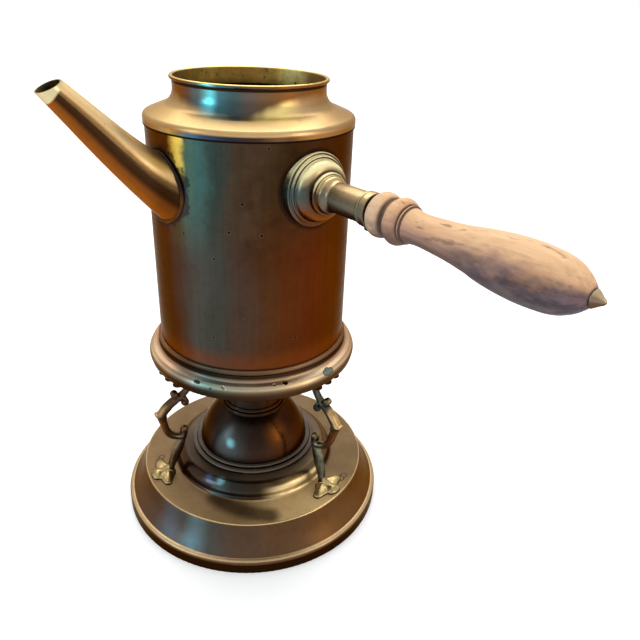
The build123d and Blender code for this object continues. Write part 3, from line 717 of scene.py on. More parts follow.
class Surface:
    """A material with the measures and masks that its coats are made from."""

    def __init__(self, name):
        self.material = bpy.data.materials.new(name)
        self.material.use_nodes = True
        self.tree = self.material.node_tree
        coordinates = self.wire("ShaderNodeTexCoord")
        self.place = coordinates["Object"]
        axes = self.wire("ShaderNodeSeparateXYZ", i0=self.place)
        self.x, self.y, self.level = (self.both(axis, 1000.0) for axis in axes)
        self.up = self.wire("ShaderNodeSeparateXYZ", i0=coordinates["Normal"])[2]

    def wire(self, kind, settings=(), **inputs):
        return wire(self.tree, kind, settings, **inputs)

    def math(self, operation, first, second=0.0, third=0.0):
        return self.wire("ShaderNodeMath", [("operation", operation)], i0=first, i1=second, i2=third)[0]

    def both(self, first, second):
        return self.math("MULTIPLY", first, second)

    def apart(self, first, second):
        """How far two measures lead away together, as the two short sides of a right angle do."""
        return self.math("SQRT", self.math("ADD", self.both(first, first), self.both(second, second)))

    def swayed(self, value, mask, amount):
        """A value pushed down or up by as much as half the amount, where a mask is low or high."""
        return self.math("MULTIPLY_ADD", self.math("SUBTRACT", mask, 0.5), amount, value)

    def group(self, group, output=0, **inputs):
        return self.wire("ShaderNodeGroup", [("node_tree", group)], **inputs)[output]

    def clouds(self, size, cover, edge=0.15, seed=0.0, stretch=None):
        """Clouds of tarnish. Three factors below 1 draw them out along those directions into streaks."""
        place = self.place
        if stretch:
            place = self.wire("ShaderNodeVectorMath", [("operation", "MULTIPLY")], i0=place, i1=stretch)[0]
        return self.group(clouds, Place=place, Size=size, Cover=cover, Edge=edge, Seed=seed)

    def specks(self, spacing, share, size):
        return self.group(pits, Place=self.place, Spacing=spacing, Share=share, Size=size)

    def band(self, value, middle, half_width, fade):
        return self.group(band, Value=value, Middle=middle, Half_Width=half_width, Fade=fade)

    def where(self, **measures):
        """A mask where each named measure lies in its own band of (middle, half width, fade)."""
        masks = [self.band(getattr(self, name), *stretch) for name, stretch in measures.items()]
        together = masks[0]
        for mask in masks[1:]:
            together = self.both(together, mask)
        return together

    def marks(self, marks, grow=1.0, fade=0.3):
        """One mask for marks given as (turn in degrees, radius, height, size), the rest in millimetres."""
        together = None
        for turn, radius, height, size in marks:
            angle = math.radians(turn)
            middle = (radius * math.cos(angle) * MM, radius * math.sin(angle) * MM, height * MM)
            mask = self.group(spot, Place=self.place, Middle=middle, Radius=size * grow * MM, Fade=fade * MM)
            together = mask if together is None else self.math("MAXIMUM", together, mask)
        return together

    def run(self, value, stops):
        """Colours laid along a measure. A stop is (value, red, green, blue), or (value, number)."""
        first, last = stops[0][0], stops[-1][0]
        share = self.wire("ShaderNodeMapRange", i0=value, i1=first, i2=last)[0]
        colors = [tone(*chart) if len(chart) == 3 else chart * 3 for _, *chart in stops]
        places = [(stop[0] - first) / (last - first) for stop in stops]
        return ramp(self.tree, share, list(zip(places, colors)), "EASE")


# %% [markdown]
# The coats themselves need little more. Each one mixes itself over what the finish has so far, and
# only at the end does the whole stack go into the shader. Old brass mirrors less at a slant than
# clean metal does, so the tint for slanting light is dark and warm.

# %% Coats
class Finish(Surface):
    """A surface whose colour, roughness, metal and height are built up coat by coat."""

    def __init__(self, name, roughness, chart=None, metallic=1.0):
        super().__init__(name)
        self.shader = self.tree.nodes["Principled BSDF"]
        self.shader.inputs["Specular Tint"].default_value = (0.60, 0.50, 0.42, 1)
        self.color = tone(*chart) if chart else None
        self.roughness, self.metallic, self.height = roughness, metallic, 0.0

    def mix(self, mask, below, above, blend="MIX"):
        """Mixes two colours, or two numbers, by a mask."""
        if isinstance(above, (int, float)):
            return self.wire("ShaderNodeMix", i0=mask, i2=below, i3=above)[0]
        settings = [("data_type", "RGBA"), ("blend_type", blend)]
        return self.wire("ShaderNodeMix", settings, i0=mask, i6=below, i7=above)[2]

    def coat(self, mask, color=None, roughness=None, metallic=None, share=1.0):
        """Lays a colour, a roughness or a share of bare metal over the coats below."""
        if share != 1.0:
            mask = self.both(mask, share)
        if color is not None:
            self.color = self.mix(mask, self.color, tone(*color) if isinstance(color, tuple) else color)
        if roughness is not None:
            self.roughness = self.mix(mask, self.roughness, roughness)
        if metallic is not None:
            self.metallic = self.mix(mask, self.metallic, metallic)

    def tint(self, mask, factors, share=1.0):
        """Multiplies the colour below where the mask says, so that the hue is kept."""
        if share != 1.0:
            mask = self.both(mask, share)
        self.color = self.mix(mask, self.color, factors, "MULTIPLY")

    def lift(self, mask, height):
        """Adds a height in metres where the mask says: below zero for a dent or a pit."""
        self.height = self.math("MULTIPLY_ADD", mask, height, self.height)

    def done(self):
        finished = {"Base Color": self.color, "Roughness": self.roughness, "Metallic": self.metallic}
        if self.height != 0.0:
            relief = self.wire("ShaderNodeBump", Strength=1.0, Distance=1.0, Height=self.height)
            finished["Normal"] = relief["Normal"]
        for name, value in finished.items():
            feed(self.tree, self.shader.inputs[name], value)
        return self.material


# %% [markdown]
# ## Effects that several finishes share
# Each effect is a node group with named inputs and outputs, so that one drawing of it serves every
# finish. One helper makes a group with its sockets, and two more put the commonest nodes inside.

# %% Helpers for node groups
def new_group(name, inputs, outputs):
    """An empty shader group, its inputs by name, and its outside. A 3-tuple makes a vector socket."""
    group = bpy.data.node_groups.new(name, "ShaderNodeTree")
    for label, value in inputs.items():
        kind = "NodeSocketVector" if isinstance(value, tuple) else "NodeSocketFloat"
        group.interface.new_socket(label, in_out="INPUT", socket_type=kind).default_value = value
    for label in outputs:
        group.interface.new_socket(label, in_out="OUTPUT", socket_type="NodeSocketFloat")
    return group, group.nodes.new("NodeGroupInput").outputs, group.nodes.new("NodeGroupOutput").inputs


def reckon(group, operation, first, second=0.0, kind="ShaderNodeMath"):
    return wire(group, kind, [("operation", operation)], i0=first, i1=second)


def soft_step(group, value, start, stop, before, after):
    """A soft change from one number to another while the value goes from start to stop."""
    kind, settings = "ShaderNodeMapRange", [("interpolation_type", "SMOOTHSTEP")]
    return wire(group, kind, settings, i0=value, i1=start, i2=stop, i3=before, i4=after)[0]


# %% [markdown]
# A band is the simplest mask: one inside a stretch of some measure, such as the height above the
# table, fading to nothing at its two ends. A spot is the same about a point in space.

# %% Bands and spots
band, given, made = new_group("band", {"Value": 0.0, "Middle": 0.0, "Half Width": 1.0, "Fade": 0.5}, ["Mask"])
away = reckon(band, "ABSOLUTE", reckon(band, "SUBTRACT", given["Value"], given["Middle"])[0])[0]
edge = reckon(band, "ADD", given["Half Width"], given["Fade"])[0]
band.links.new(soft_step(band, away, given["Half Width"], edge, 1.0, 0.0), made["Mask"])

nowhere = (0, 0, 0)
spot_inputs = {"Place": nowhere, "Middle": nowhere, "Radius": 1.0, "Fade": 0.5}
spot, given, made = new_group("spot", spot_inputs, ["Mask"])
away = reckon(spot, "DISTANCE", given["Place"], given["Middle"], "ShaderNodeVectorMath")[1]
edge = reckon(spot, "ADD", given["Radius"], given["Fade"])[0]
spot.links.new(soft_step(spot, away, given["Radius"], edge, 1.0, 0.0), made["Mask"])
tell(band=band, spot=spot)

# %% [markdown]
# Clouds are soft noise with a threshold: the stuff of tarnish. The size of the clouds is given in
# millimetres, and the cover says how much of the surface they take.

# %% Clouds
cloud_inputs = {"Place": nowhere, "Size": 20.0, "Cover": 0.5, "Edge": 0.2, "Ragged": 0.6, "Seed": 0.0}
clouds, given, made = new_group("clouds", cloud_inputs, ["Mask"])
four_ways = [("noise_dimensions", "4D")]
fineness = reckon(clouds, "DIVIDE", 1000.0, given["Size"])[0]
grains = wire(
    clouds, "ShaderNodeTexNoise", four_ways,
    Vector=given["Place"], W=given["Seed"], Scale=fineness, Detail=5.0, Roughness=given["Ragged"],
)
uncovered = reckon(clouds, "SUBTRACT", 1.0, given["Cover"])[0]
threshold = wire(clouds, "ShaderNodeMapRange", i0=uncovered, i1=0.0, i2=1.0, i3=0.25, i4=0.75)[0]
least = reckon(clouds, "SUBTRACT", threshold, given["Edge"])[0]
most = reckon(clouds, "ADD", threshold, given["Edge"])[0]
clouds.links.new(soft_step(clouds, grains[0], least, most, 0.0, 1.0), made["Mask"])
tell(clouds=clouds)

# %% [markdown]
# Everything here but the legs was turned or spun about one axis, and the tool leaves fine rings.
# The rings group squeezes noise along the axis and outwards, and leaves it long round the axis. A
# second group measures how far a place has turned about the pot's axis, and how far it is from it.

# %% Turning rings, turn and radius
rings, given, made = new_group("rings", {"Place": nowhere, "Spacing": 0.5, "Seed": 0.0}, ["Height"])
ways = wire(rings, "ShaderNodeSeparateXYZ", i0=given["Place"])
across = wire(rings, "ShaderNodeCombineXYZ", i0=ways[0], i1=ways[1])[0]
radius = reckon(rings, "LENGTH", across, nowhere, "ShaderNodeVectorMath")[1]
way_round = reckon(rings, "NORMALIZE", across, nowhere, "ShaderNodeVectorMath")[0]
slow = wire(rings, "ShaderNodeVectorMath", [("operation", "SCALE")], i0=way_round, Scale=0.004)[0]
squeeze = wire(rings, "ShaderNodeCombineXYZ", i0=radius, i1=ways[2])[0]
together = reckon(rings, "ADD", squeeze, slow, "ShaderNodeVectorMath")[0]
fineness = reckon(rings, "DIVIDE", 1000.0, given["Spacing"])[0]
grains = wire(
    rings, "ShaderNodeTexNoise", four_ways,
    Vector=together, W=given["Seed"], Scale=fineness, Detail=2.0, Roughness=0.6,
)
rings.links.new(grains[0], made["Height"])

about_axis, given, made = new_group("about_axis", {"Place": nowhere}, ["Turn", "Radius"])
ways = wire(about_axis, "ShaderNodeSeparateXYZ", i0=given["Place"])
across = wire(about_axis, "ShaderNodeCombineXYZ", i0=ways[0], i1=ways[1])[0]
about_axis.links.new(reckon(about_axis, "LENGTH", across, nowhere, "ShaderNodeVectorMath")[1], made["Radius"])
turn = reckon(about_axis, "ARCTAN2", ways[1], ways[0])[0]
about_axis.links.new(reckon(about_axis, "DEGREES", turn)[0], made["Turn"])
tell(rings=rings, about_axis=about_axis)

# %% [markdown]
# Small pits are what years of vinegar and damp leave in brass. A cell pattern gives each cell one
# speck, and only the cells whose own random number is low enough keep it.

# %% Pits
pit_inputs = {"Place": nowhere, "Spacing": 12.0, "Share": 0.3, "Size": 0.5}
pits, given, made = new_group("pits", pit_inputs, ["Speck"])
fineness = reckon(pits, "DIVIDE", 1000.0, given["Spacing"])[0]
cells = wire(pits, "ShaderNodeTexVoronoi", Vector=given["Place"], Scale=fineness, Randomness=1.0)
far = reckon(pits, "MULTIPLY", reckon(pits, "DIVIDE", cells["Distance"], fineness)[0], 1000.0)[0]
chance = wire(pits, "ShaderNodeSeparateColor", i0=cells["Color"])[0]
kept = reckon(pits, "LESS_THAN", chance, given["Share"])[0]
near = reckon(pits, "MULTIPLY", given["Size"], 0.6)[0]
speck = wire(pits, "ShaderNodeMapRange", i0=far, i1=near, i2=given["Size"], i3=1.0, i4=0.0)[0]
pits.links.new(reckon(pits, "MULTIPLY", speck, kept)[0], made["Speck"])
tell(pits=pits)

# %% [markdown]
# ## The spun brass
# Brass that is handled and dusted is pale where hands and cloths reach, on whatever faces up, and
# keeps its brown skin on the sides and beneath. So the first coat of each finish is a run of colours
# by how far the surface faces up, from -1 underneath to 1 on top. The run is partly that wear and
# partly painted light and shade: lighter on top, where light from above falls, and darker on the
# sides and beneath. It is part of the object, so it stays where it is from every side. Clouds of two
# sizes then break the colour, and fine rings round the axis give the tool's marks.

# %% Spun brass
def spun_brass(name, by_facing, roughness, spacing=0.6, cloud=28.0, seed=0.0, age=0.3):
    finish = Finish(name, roughness)
    finish.turn = finish.group(about_axis, 0, Place=finish.place)
    finish.radius = finish.both(finish.group(about_axis, 1, Place=finish.place), 1000.0)
    # The run by facing is partly wear and partly painted light and shade.
    finish.color = finish.run(finish.up, by_facing)
    finish.age, finish.cloud, finish.seed = age, cloud, seed
    lines = finish.group(rings, Place=finish.place, Spacing=spacing, Seed=seed)
    finish.roughness = finish.swayed(roughness, lines, 0.2)
    finish.lift(lines, 0.000010)
    return finish


def weathered(finish):
    """The last coats of a spun finish: large and small clouds of tarnish over everything."""
    broad = finish.clouds(finish.cloud, 0.5, 0.16, finish.seed)
    finish.tint(broad, (0.80, 0.75, 0.70), finish.age)
    finish.roughness = finish.math("MULTIPLY_ADD", broad, 0.08, finish.roughness)
    fine = finish.clouds(finish.cloud / 8, 0.34, 0.14, finish.seed + 3)
    finish.tint(fine, (0.66, 0.58, 0.50), finish.age)
    return finish.done()


def give(material, *nodes):
    """Puts a material on every slot of some pieces of the frame."""
    for node in nodes:
        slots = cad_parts[node].data.materials
        if len(slots) == 0:
            slots.append(material)
        for number in range(len(slots)):
            slots[number] = material
    print(f"{material.name}: {', '.join(nodes)}")


# %% [markdown]
# ## The body
# The body is a drawn tube. Its colour runs round it in broad upright bands, partly patina and partly
# painted reflection: a reddish side under the spout, a gold streak that is a painted reflection of a
# lamp, a blue-green column that is a painted reflection of the cool left window, a long olive brown
# middle and a copper side under the handle, partly a painted reflection of warm surroundings. The
# bands are soft, so a cloud bends the turn before the colours are read, and drawing left faint
# upright streaks in them. High up, a dark cloud hangs half way to the handle.

# %% Body bands
body = spun_brass("pot_patina", [(-1, 70, 50, 34), (0, 80, 60, 42), (1, 130, 104, 70)], 0.34, 0.9, 34, 1.0)
wander = body.clouds(40.0, 0.5, 0.3, 7.0)
bent_turn = body.swayed(body.turn, wander, 11.0)
# Painted reflections run in these bands: the blue-green window column and the copper side.
upper_patina_and_reflections = body.run(bent_turn, [
    (-180, 78, 52, 30), (-112, 70, 38, 16), (-92, 72, 36, 12), (-82, 84, 48, 18), (-75, 84, 84, 54),
    (-70, 68, 98, 86), (-62, 54, 90, 88), (-53, 42, 58, 56), (-44, 68, 58, 46), (-34, 68, 52, 38),
    (-22, 58, 42, 24), (-10, 60, 36, 14), (4, 62, 27, 5), (24, 60, 26, 6), (50, 58, 30, 14),
    (180, 78, 52, 30),
])
lower_patina_and_reflections = body.run(bent_turn, [
    (-180, 76, 50, 30), (-112, 66, 34, 18), (-86, 70, 34, 18), (-78, 66, 44, 36), (-66, 64, 64, 60),
    (-54, 56, 58, 54), (-42, 66, 50, 42), (-26, 74, 43, 21), (-16, 80, 37, 10), (0, 82, 30, 3),
    (16, 84, 36, 4), (34, 70, 28, 6), (60, 62, 32, 14), (180, 76, 50, 30),
])
is_low = body.where(level=(128.0, 66.0, 54.0))
body.color = body.mix(0.9, body.color, body.mix(is_low, upper_patina_and_reflections, lower_patina_and_reflections))
# A painted reflection: the gold streak of a lamp.
gold_streak_reflection = body.both(body.band(bent_turn, -77.5, 0.7, 6.0), body.where(level=(265.0, 8.0, 20.0)))
body.coat(gold_streak_reflection, (252, 232, 124))
streaks = body.clouds(2.6, 0.5, 0.22, 31.0, (1.0, 1.0, 0.05))
body.tint(streaks, (0.78, 0.76, 0.74), 0.6)
high_up = body.where(turn=(-24.0, 12.0, 14.0), level=(240.0, 26.0, 30.0))
body.coat(body.both(high_up, body.clouds(13.0, 0.5, 0.2, 33.0)), (44, 27, 15), 0.4, share=0.6)
foot_glow = body.where(level=(131.0, 6.0, 12.0))
body.coat(foot_glow, (112, 54, 18), share=0.45)
tell(body=body.tree)

# %% [markdown]
# Solder and flux left their own colours. Round the spout's root the flux ate a ragged purple stain
# into the body, widest on the side away from the seam, and a painted shade line lies in the crease
# at the top of the root. A dark line follows the rosette, partly stain and partly painted shade where
# the rosette meets the body. A few deep pits have a paler ring, where the skin was eaten off round
# them.

# %% Stains and pits of the body
aside = body.math("DIVIDE", body.x, 18.6)
above = body.math("DIVIDE", body.math("SUBTRACT", body.level, root_level / MM), 19.0)
from_root = body.apart(aside, above)
ragged = body.swayed(from_root, body.clouds(5.0, 0.5, 0.4, 17.0), 0.5)
at_front = body.math("LESS_THAN", body.y, 0.0)
flux = body.both(body.band(ragged, 1.0, 0.15, 0.08), at_front)
body.coat(flux, (42, 34, 42), 0.42, share=0.75)
# Painted shade: a near-black line in the crease along the top of the spout's root.
root_crease_shade = body.both(body.band(from_root, 1.0, 0.07, 0.04), at_front)
body.coat(body.both(root_crease_shade, body.band(above, 1.2, 1.0, 0.5)), (18, 13, 12), 0.5)
drop = body.math("SUBTRACT", body.level, handle_height / MM)
# Partly stain, partly painted shade where the rosette meets the body.
rosette_stain_and_shade = body.band(body.apart(body.y, drop), 20.6, 0.7, 1.8)
body.coat(body.both(rosette_stain_and_shade, body.math("GREATER_THAN", body.x, 0.0)), (34, 22, 16), 0.5, share=0.8)

deep_pits = [
    (-39.6, 60, 235.4, 0.6), (-46.5, 60, 219.5, 0.5), (-29.9, 60, 218.1, 0.6), (-72.9, 60, 215.0, 0.5),
    (-55.0, 60, 203.5, 0.45), (-57.0, 60, 154.5, 0.5), (-10.5, 60, 153.0, 0.5), (-26.3, 60, 264.0, 0.45),
]
body.coat(body.marks(deep_pits, 1.4, 0.8), (104, 92, 74), 0.5, share=0.2)
body.coat(body.marks(deep_pits, 0.8), (12, 9, 8), 0.7)
body.lift(body.marks(deep_pits, 0.8), -0.0003)
body.coat(body.specks(9.0, 0.4, 0.24), (124, 104, 78), 0.5, share=0.7)
give(weathered(body), "pot_body", "pot_floor")

# %% [markdown]
# ## The shoulder and neck
# The shoulder is wiped whenever the pot is handled, so it is the palest brass, and painted light on
# its upward face makes it paler still. It is brightest at the foot of the neck between the spout and
# the handle, where painted light and a painted highlight lie, and painted shade makes it duller beyond
# the handle.

# %% Shoulder finish
shoulder = spun_brass(
    "shoulder_gold",
    [(-1, 110, 78, 40), (0, 164, 122, 72), (0.4, 178, 142, 94), (0.72, 202, 170, 120), (0.9, 206, 174, 122),
     (1, 212, 182, 128)],
    0.32, 0.5, 22, 4.0, 0.16,
)
# Painted light on the side between the spout and the handle.
lit_side = shoulder.where(turn=(-22.0, 10.0, 40.0))
shoulder.coat(lit_side, (232, 196, 142), share=0.45)
# A painted highlight at the foot of the neck.
root_painted_highlight = shoulder.where(turn=(-20.0, 1.0, 24.0), radius=(47.8, 2.6, 6.4))
shoulder.coat(root_painted_highlight, (255, 230, 148), 0.3)
# Painted shade beyond the handle.
far_right_painted_shade = shoulder.where(turn=(50.0, 32.0, 34.0))
shoulder.tint(far_right_painted_shade, (0.80, 0.78, 0.84))
tell(shoulder=shoulder.tree)

# %% [markdown]
# The upright walls, the neck's and the band's that laps over the body, keep a darker colour that
# changes on its way round: partly skin, partly painted shade, with painted reflections, among them a
# bright blue-green one of the cool window beside the spout. On the neck the darker colour's lower
# edge hangs like a swag, so that edge is a run of heights by turn. Inside the neck lies a dull gold
# with an old film and dark spots, and a painted highlight on the far wall.

# %% Neck, lap and rim
# Skin and painted reflections round the neck; the bright blue-green is a painted reflection of the cool
# window.
neck_skin_and_reflections = shoulder.run(shoulder.turn, [
    (-180, 112, 78, 42), (-112, 110, 70, 36), (-94, 112, 66, 34), (-84, 92, 66, 50), (-74, 78, 92, 96),
    (-63, 96, 186, 200), (-56, 62, 100, 108), (-46, 62, 82, 84), (-36, 90, 80, 74), (-26, 104, 80, 56),
    (-12, 118, 78, 40), (12, 118, 72, 34), (40, 124, 80, 42), (180, 112, 78, 42),
])
swag_edge = shoulder.run(shoulder.turn, [
    (-180, 0.86), (-130, 0.82), (-100, 0.70), (-89, 0.58), (-75, 0.46), (-64, 0.35), (-53, 0.25), (-43, 0.17),
    (-37, 0.22), (-30, 0.36), (-22, 0.52), (-11, 0.66), (2, 0.76), (17, 0.82), (50, 0.84), (180, 0.86),
])
over_edge = shoulder.math("SUBTRACT", shoulder.level, shoulder.math("MULTIPLY_ADD", swag_edge, 16.0, 274.0))
swag = shoulder.both(shoulder.band(over_edge, 20.8, 20.0, 5.6), shoulder.where(radius=(43.0, 8.0, 1.0)))
shoulder.coat(swag, neck_skin_and_reflections, 0.26)
# Skin and painted reflections round the band that laps over the body.
lap_colors_and_reflections = shoulder.run(shoulder.turn, [
    (-180, 120, 84, 46), (-110, 130, 80, 42), (-90, 150, 108, 64), (-76, 164, 146, 104), (-66, 70, 92, 108),
    (-56, 44, 60, 80), (-44, 40, 42, 46), (-34, 56, 42, 36), (-20, 104, 74, 48), (0, 146, 100, 54),
    (30, 132, 92, 52), (180, 120, 84, 46),
])
lapping = shoulder.where(level=(266.0, 3.2, 1.2), up=(0.0, 0.2, 0.4))
shoulder.coat(lapping, lap_colors_and_reflections, 0.26)
lap_line = shoulder.where(level=(266.6, 0.7, 0.6))
shoulder.coat(lap_line, (24, 17, 14), 0.5)
rim_shade = shoulder.where(level=(289.2, 0.5, 0.5), radius=(43.6, 0.25, 0.1))
shoulder.coat(rim_shade, (40, 26, 16), 0.4)
inside_neck = shoulder.where(radius=(42.4, 0.8, 0.06))
# The inside's colours round the neck, with a painted highlight on the far wall.
inner_colors_and_highlight = shoulder.run(shoulder.turn, [
    (-180, 176, 140, 60), (-150, 134, 102, 40), (-120, 104, 76, 30), (-60, 110, 74, 36), (60, 124, 86, 44),
    (84, 146, 108, 56), (108, 232, 212, 136), (126, 192, 150, 70), (150, 170, 128, 56), (180, 176, 140, 60),
])
shoulder.coat(inside_neck, inner_colors_and_highlight, 0.5, 0.5)
old_film = shoulder.clouds(7.0, 0.5, 0.2, 41.0)
shoulder.coat(shoulder.both(inside_neck, old_film), (96, 88, 40), 0.6, share=0.55)
shoulder.coat(shoulder.both(inside_neck, shoulder.clouds(3.0, 0.22, 0.06, 42.0)), (58, 44, 24), 0.6)
rim_top = shoulder.where(level=(292.2, 0.6, 0.2))
shoulder.coat(rim_top, (248, 214, 134), 0.24)
shoulder.coat(shoulder.specks(8.0, 0.4, 0.3), (120, 92, 54), 0.6)
give(weathered(shoulder), "shoulder_and_neck")

# %% [markdown]
# ## The spout
# The spout's back is pale and its underside orange, with a dark band between them. This run is
# painted reflection: of light from above on the back, of the dim room on the band, and of warm
# surroundings on the underside. Its lip is bright from use.

# %% Spout finish
# The run by facing here is painted reflection: pale back, dark band, orange underside.
spout = spun_brass(
    "spout_gold",
    [(-1, 108, 56, 18), (-0.62, 146, 82, 30), (-0.44, 122, 68, 26), (-0.2, 54, 32, 15), (-0.02, 58, 38, 22),
     (0.16, 120, 92, 58), (0.34, 236, 200, 144), (0.55, 252, 220, 162), (1, 222, 202, 164)],
    0.36, 0.6, 18, 9.0, 0.22,
)
near_root = spout.where(y=(-62.0, 3.0, 8.0))
spout.tint(near_root, (0.72, 0.68, 0.60))
lip = spout.group(spot, Place=spout.place, Middle=(0.0, -0.1129, 0.2918), Radius=0.0074, Fade=0.0006)
spout.coat(lip, (226, 214, 168), 0.2, share=0.7)
deep_pits = [(-83.5, 97.0, 263.5, 0.6), (-80.5, 70.0, 239.0, 0.6), (-88.0, 88.0, 270.0, 0.4)]
spout.coat(spout.marks(deep_pits), (30, 20, 14), 0.7)
spout.coat(spout.specks(7.0, 0.4, 0.25), (70, 48, 26), 0.7)
give(weathered(spout), "spout")

# %% [markdown]
# ## The base
# The skirt is brown with a blue-grey streak beside the spout, a painted reflection of the cool
# window, and the rise in the middle is a polished step with painted reflections: blue-green beside
# the spout and a gold swath towards the handle. The seat under the burner is dull; it is painted
# lighter to lift the shade under the burner, and darker towards the spout as painted shade.

# %% Skirt and rise
base = spun_brass(
    "base_brown",
    [(-1, 50, 32, 20), (0.0, 40, 22, 10), (0.2, 84, 58, 38), (0.5, 100, 72, 48), (0.8, 196, 170, 132),
     (0.97, 176, 148, 108), (1, 172, 144, 104)],
    0.36, 0.7, 26, 12.0,
)
skirt = base.where(radius=(84.0, 5.6, 0.4))
# Skirt colours round the pot, with the painted reflection of the cool window near the spout.
skirt_colors_and_reflection = base.run(base.turn, [
    (-180, 100, 72, 48), (-112, 98, 72, 52), (-88, 84, 64, 52), (-77, 80, 82, 88), (-71, 74, 70, 68),
    (-63, 88, 108, 114), (-55, 76, 74, 70), (-44, 88, 70, 56), (-20, 96, 70, 48), (0, 102, 70, 40),
    (30, 100, 66, 38), (70, 104, 74, 46), (180, 100, 72, 48),
])
base.coat(base.both(skirt, base.where(up=(0.45, 0.2, 0.1))), skirt_colors_and_reflection)
base.tint(base.both(skirt, base.where(level=(30.0, 4.0, 12.0))), (0.80, 0.76, 0.72))
rise = base.where(radius=(48.0, 9.0, 1.6), level=(36.0, 6.2, 1.0))
# Rise colours round the pot, with painted reflections: blue-green by the spout, gold towards the handle.
rise_colors_and_reflections = base.run(base.turn, [
    (-180, 92, 70, 50), (-112, 74, 56, 44), (-84, 62, 46, 38), (-70, 56, 48, 46), (-62, 66, 78, 80),
    (-50, 48, 48, 44), (-36, 56, 44, 34), (-20, 84, 66, 44), (-8, 114, 92, 62), (8, 104, 84, 58),
    (40, 96, 74, 52), (180, 92, 70, 50),
])
base.coat(rise, rise_colors_and_reflections, 0.22)
# Painted light that lifts the shade under the burner, and painted shade towards the spout.
seat_painted_light_and_shade = base.where(radius=(42.0, 6.0, 3.0), level=(36.0, 8.0, 1.0))
base.coat(seat_painted_light_and_shade, (92, 76, 57), 0.55, 0.4, share=0.8)
base.tint(base.both(seat_painted_light_and_shade, base.where(turn=(-92.0, 30.0, 24.0))), (0.50, 0.46, 0.46))
# A painted reflection: the gold swath on the rise.
gold_swath_reflection = base.where(radius=(54.6, 2.2, 1.8), level=(33.0, 3.0, 1.6), turn=(0.0, 14.0, 18.0))
base.coat(gold_swath_reflection, (238, 212, 158), 0.3, share=0.8)
tell(base=base.tree)

# %% [markdown]
# The shelf is dull and dry, so it scatters light more than it mirrors. Its colour round the pot is
# partly painted light, brightest in front towards the handle, where it lifts the pot's shadow. A
# painted shadow crosses it as a dark stroke, looped scratches lie by two of the feet, and the edge
# between shelf and skirt is rubbed bright, with a painted highlight on its front. Two small painted
# glints of the cool window sit on the rise.

# %% Shelf finish
shelf_part = base.where(radius=(67.6, 10.4, 1.0), level=(29.5, 0.3, 0.4))
base.coat(shelf_part, None, 0.52, 0.55)
# Painted light: the shelf is brightest in front, where the pot's shadow falls.
shelf_colors_and_painted_light = base.run(base.turn, [
    (-180, 112, 90, 62), (-134, 116, 92, 62), (-100, 134, 108, 74), (-60, 150, 122, 84), (-45, 156, 128, 88),
    (-22, 226, 194, 138), (-6, 214, 182, 128), (12, 160, 132, 92), (30, 116, 94, 64), (70, 112, 90, 60),
    (180, 112, 90, 62),
])
base.coat(shelf_part, shelf_colors_and_painted_light)
dry = base.both(shelf_part, base.clouds(30.0, 0.5, 0.2, 52.0))
base.tint(dry, (0.90, 0.87, 0.82))
# A painted shadow: a dark stroke across the shelf.
painted_shadow_stroke = [(-61.0 + 2.6 * step, 59.0 + 1.0 * step, 29.5, 2.2) for step in range(14)]
painted_shadow_mask = base.marks(painted_shadow_stroke, 1.0, 8.0)
mottled = base.math("MULTIPLY_ADD", base.clouds(14.0, 0.5, 0.5, 53.0), 0.25, 0.75)
base.tint(base.both(base.both(painted_shadow_mask, shelf_part), mottled), (0.14, 0.10, 0.075))
loops = [
    (22.8, 71.4, 29.5, 2.6), (26.0, 72.2, 29.5, 2.1), (-114.4, 68.8, 29.5, 2.5), (-117.8, 67.4, 29.5, 2.1),
]
scratched = base.math("SUBTRACT", base.marks(loops, 1.0, 0.35), base.marks(loops, 0.72, 0.35))
base.coat(base.both(scratched, shelf_part), (58, 44, 28), 0.6)
rubbed = base.where(radius=(78.3, 0.2, 0.4), level=(29.3, 0.8, 0.5))
base.coat(rubbed, (206, 172, 116), 0.3, share=0.45)
# A painted highlight on the front of the rubbed edge.
edge_painted_highlight = base.both(rubbed, base.where(turn=(-26.0, 14.0, 34.0)))
base.coat(edge_painted_highlight, (240, 208, 146), 0.2, 1.0)
# Painted highlights: two small glints of the cool window on the rise.
cool_painted_glint = base.marks([(-60.9, 51.7, 38.9, 0.3)], 1.0, 4.0)
base.coat(cool_painted_glint, (126, 180, 190), 0.2, share=0.8)
blue_painted_glint = base.marks([(-71.0, 52.2, 38.6, 0.2)], 1.0, 4.0)
base.coat(blue_painted_glint, (84, 108, 150), 0.2, share=0.5)
base.coat(base.specks(8.0, 0.35, 0.3), (60, 44, 30), 0.6)
give(weathered(base), "base")

# %% [markdown]
# ## The ring
# The ring is a pinker alloy with a satin skin. Up its lip the colour has painted highlights on the
# rounded edges and painted shade underneath and in the cove under the bead, and on the way round it
# has painted reflections, blue-green beside the spout. It has a dark mark like an oval drop, a patch
# of old grey solder and a few small dents.
# The bead that the pot stands on wears the same finish.

# %% Ring finish
by_facing = [(-1, 70, 44, 28), (0.3, 130, 104, 82), (1, 150, 126, 102)]
ring = spun_brass("ring_tan", by_facing, 0.34, 0.6, 20, 15.0, 0.22)
# Painted highlights and painted shade up the lip.
across_rim_light_and_shade = ring.run(ring.level, [
    (117.0, 56, 38, 26), (120.8, 62, 44, 34), (122.0, 78, 62, 50), (123.0, 130, 114, 96),
    (124.4, 220, 206, 180), (125.2, 206, 192, 168), (126.0, 218, 204, 182), (127.2, 196, 176, 154),
    (128.4, 114, 92, 76), (129.2, 48, 33, 26), (130.6, 40, 28, 22), (131.6, 84, 62, 46),
    (134.0, 132, 106, 84), (136.0, 118, 88, 62),
])
ring.coat(0.9, across_rim_light_and_shade)
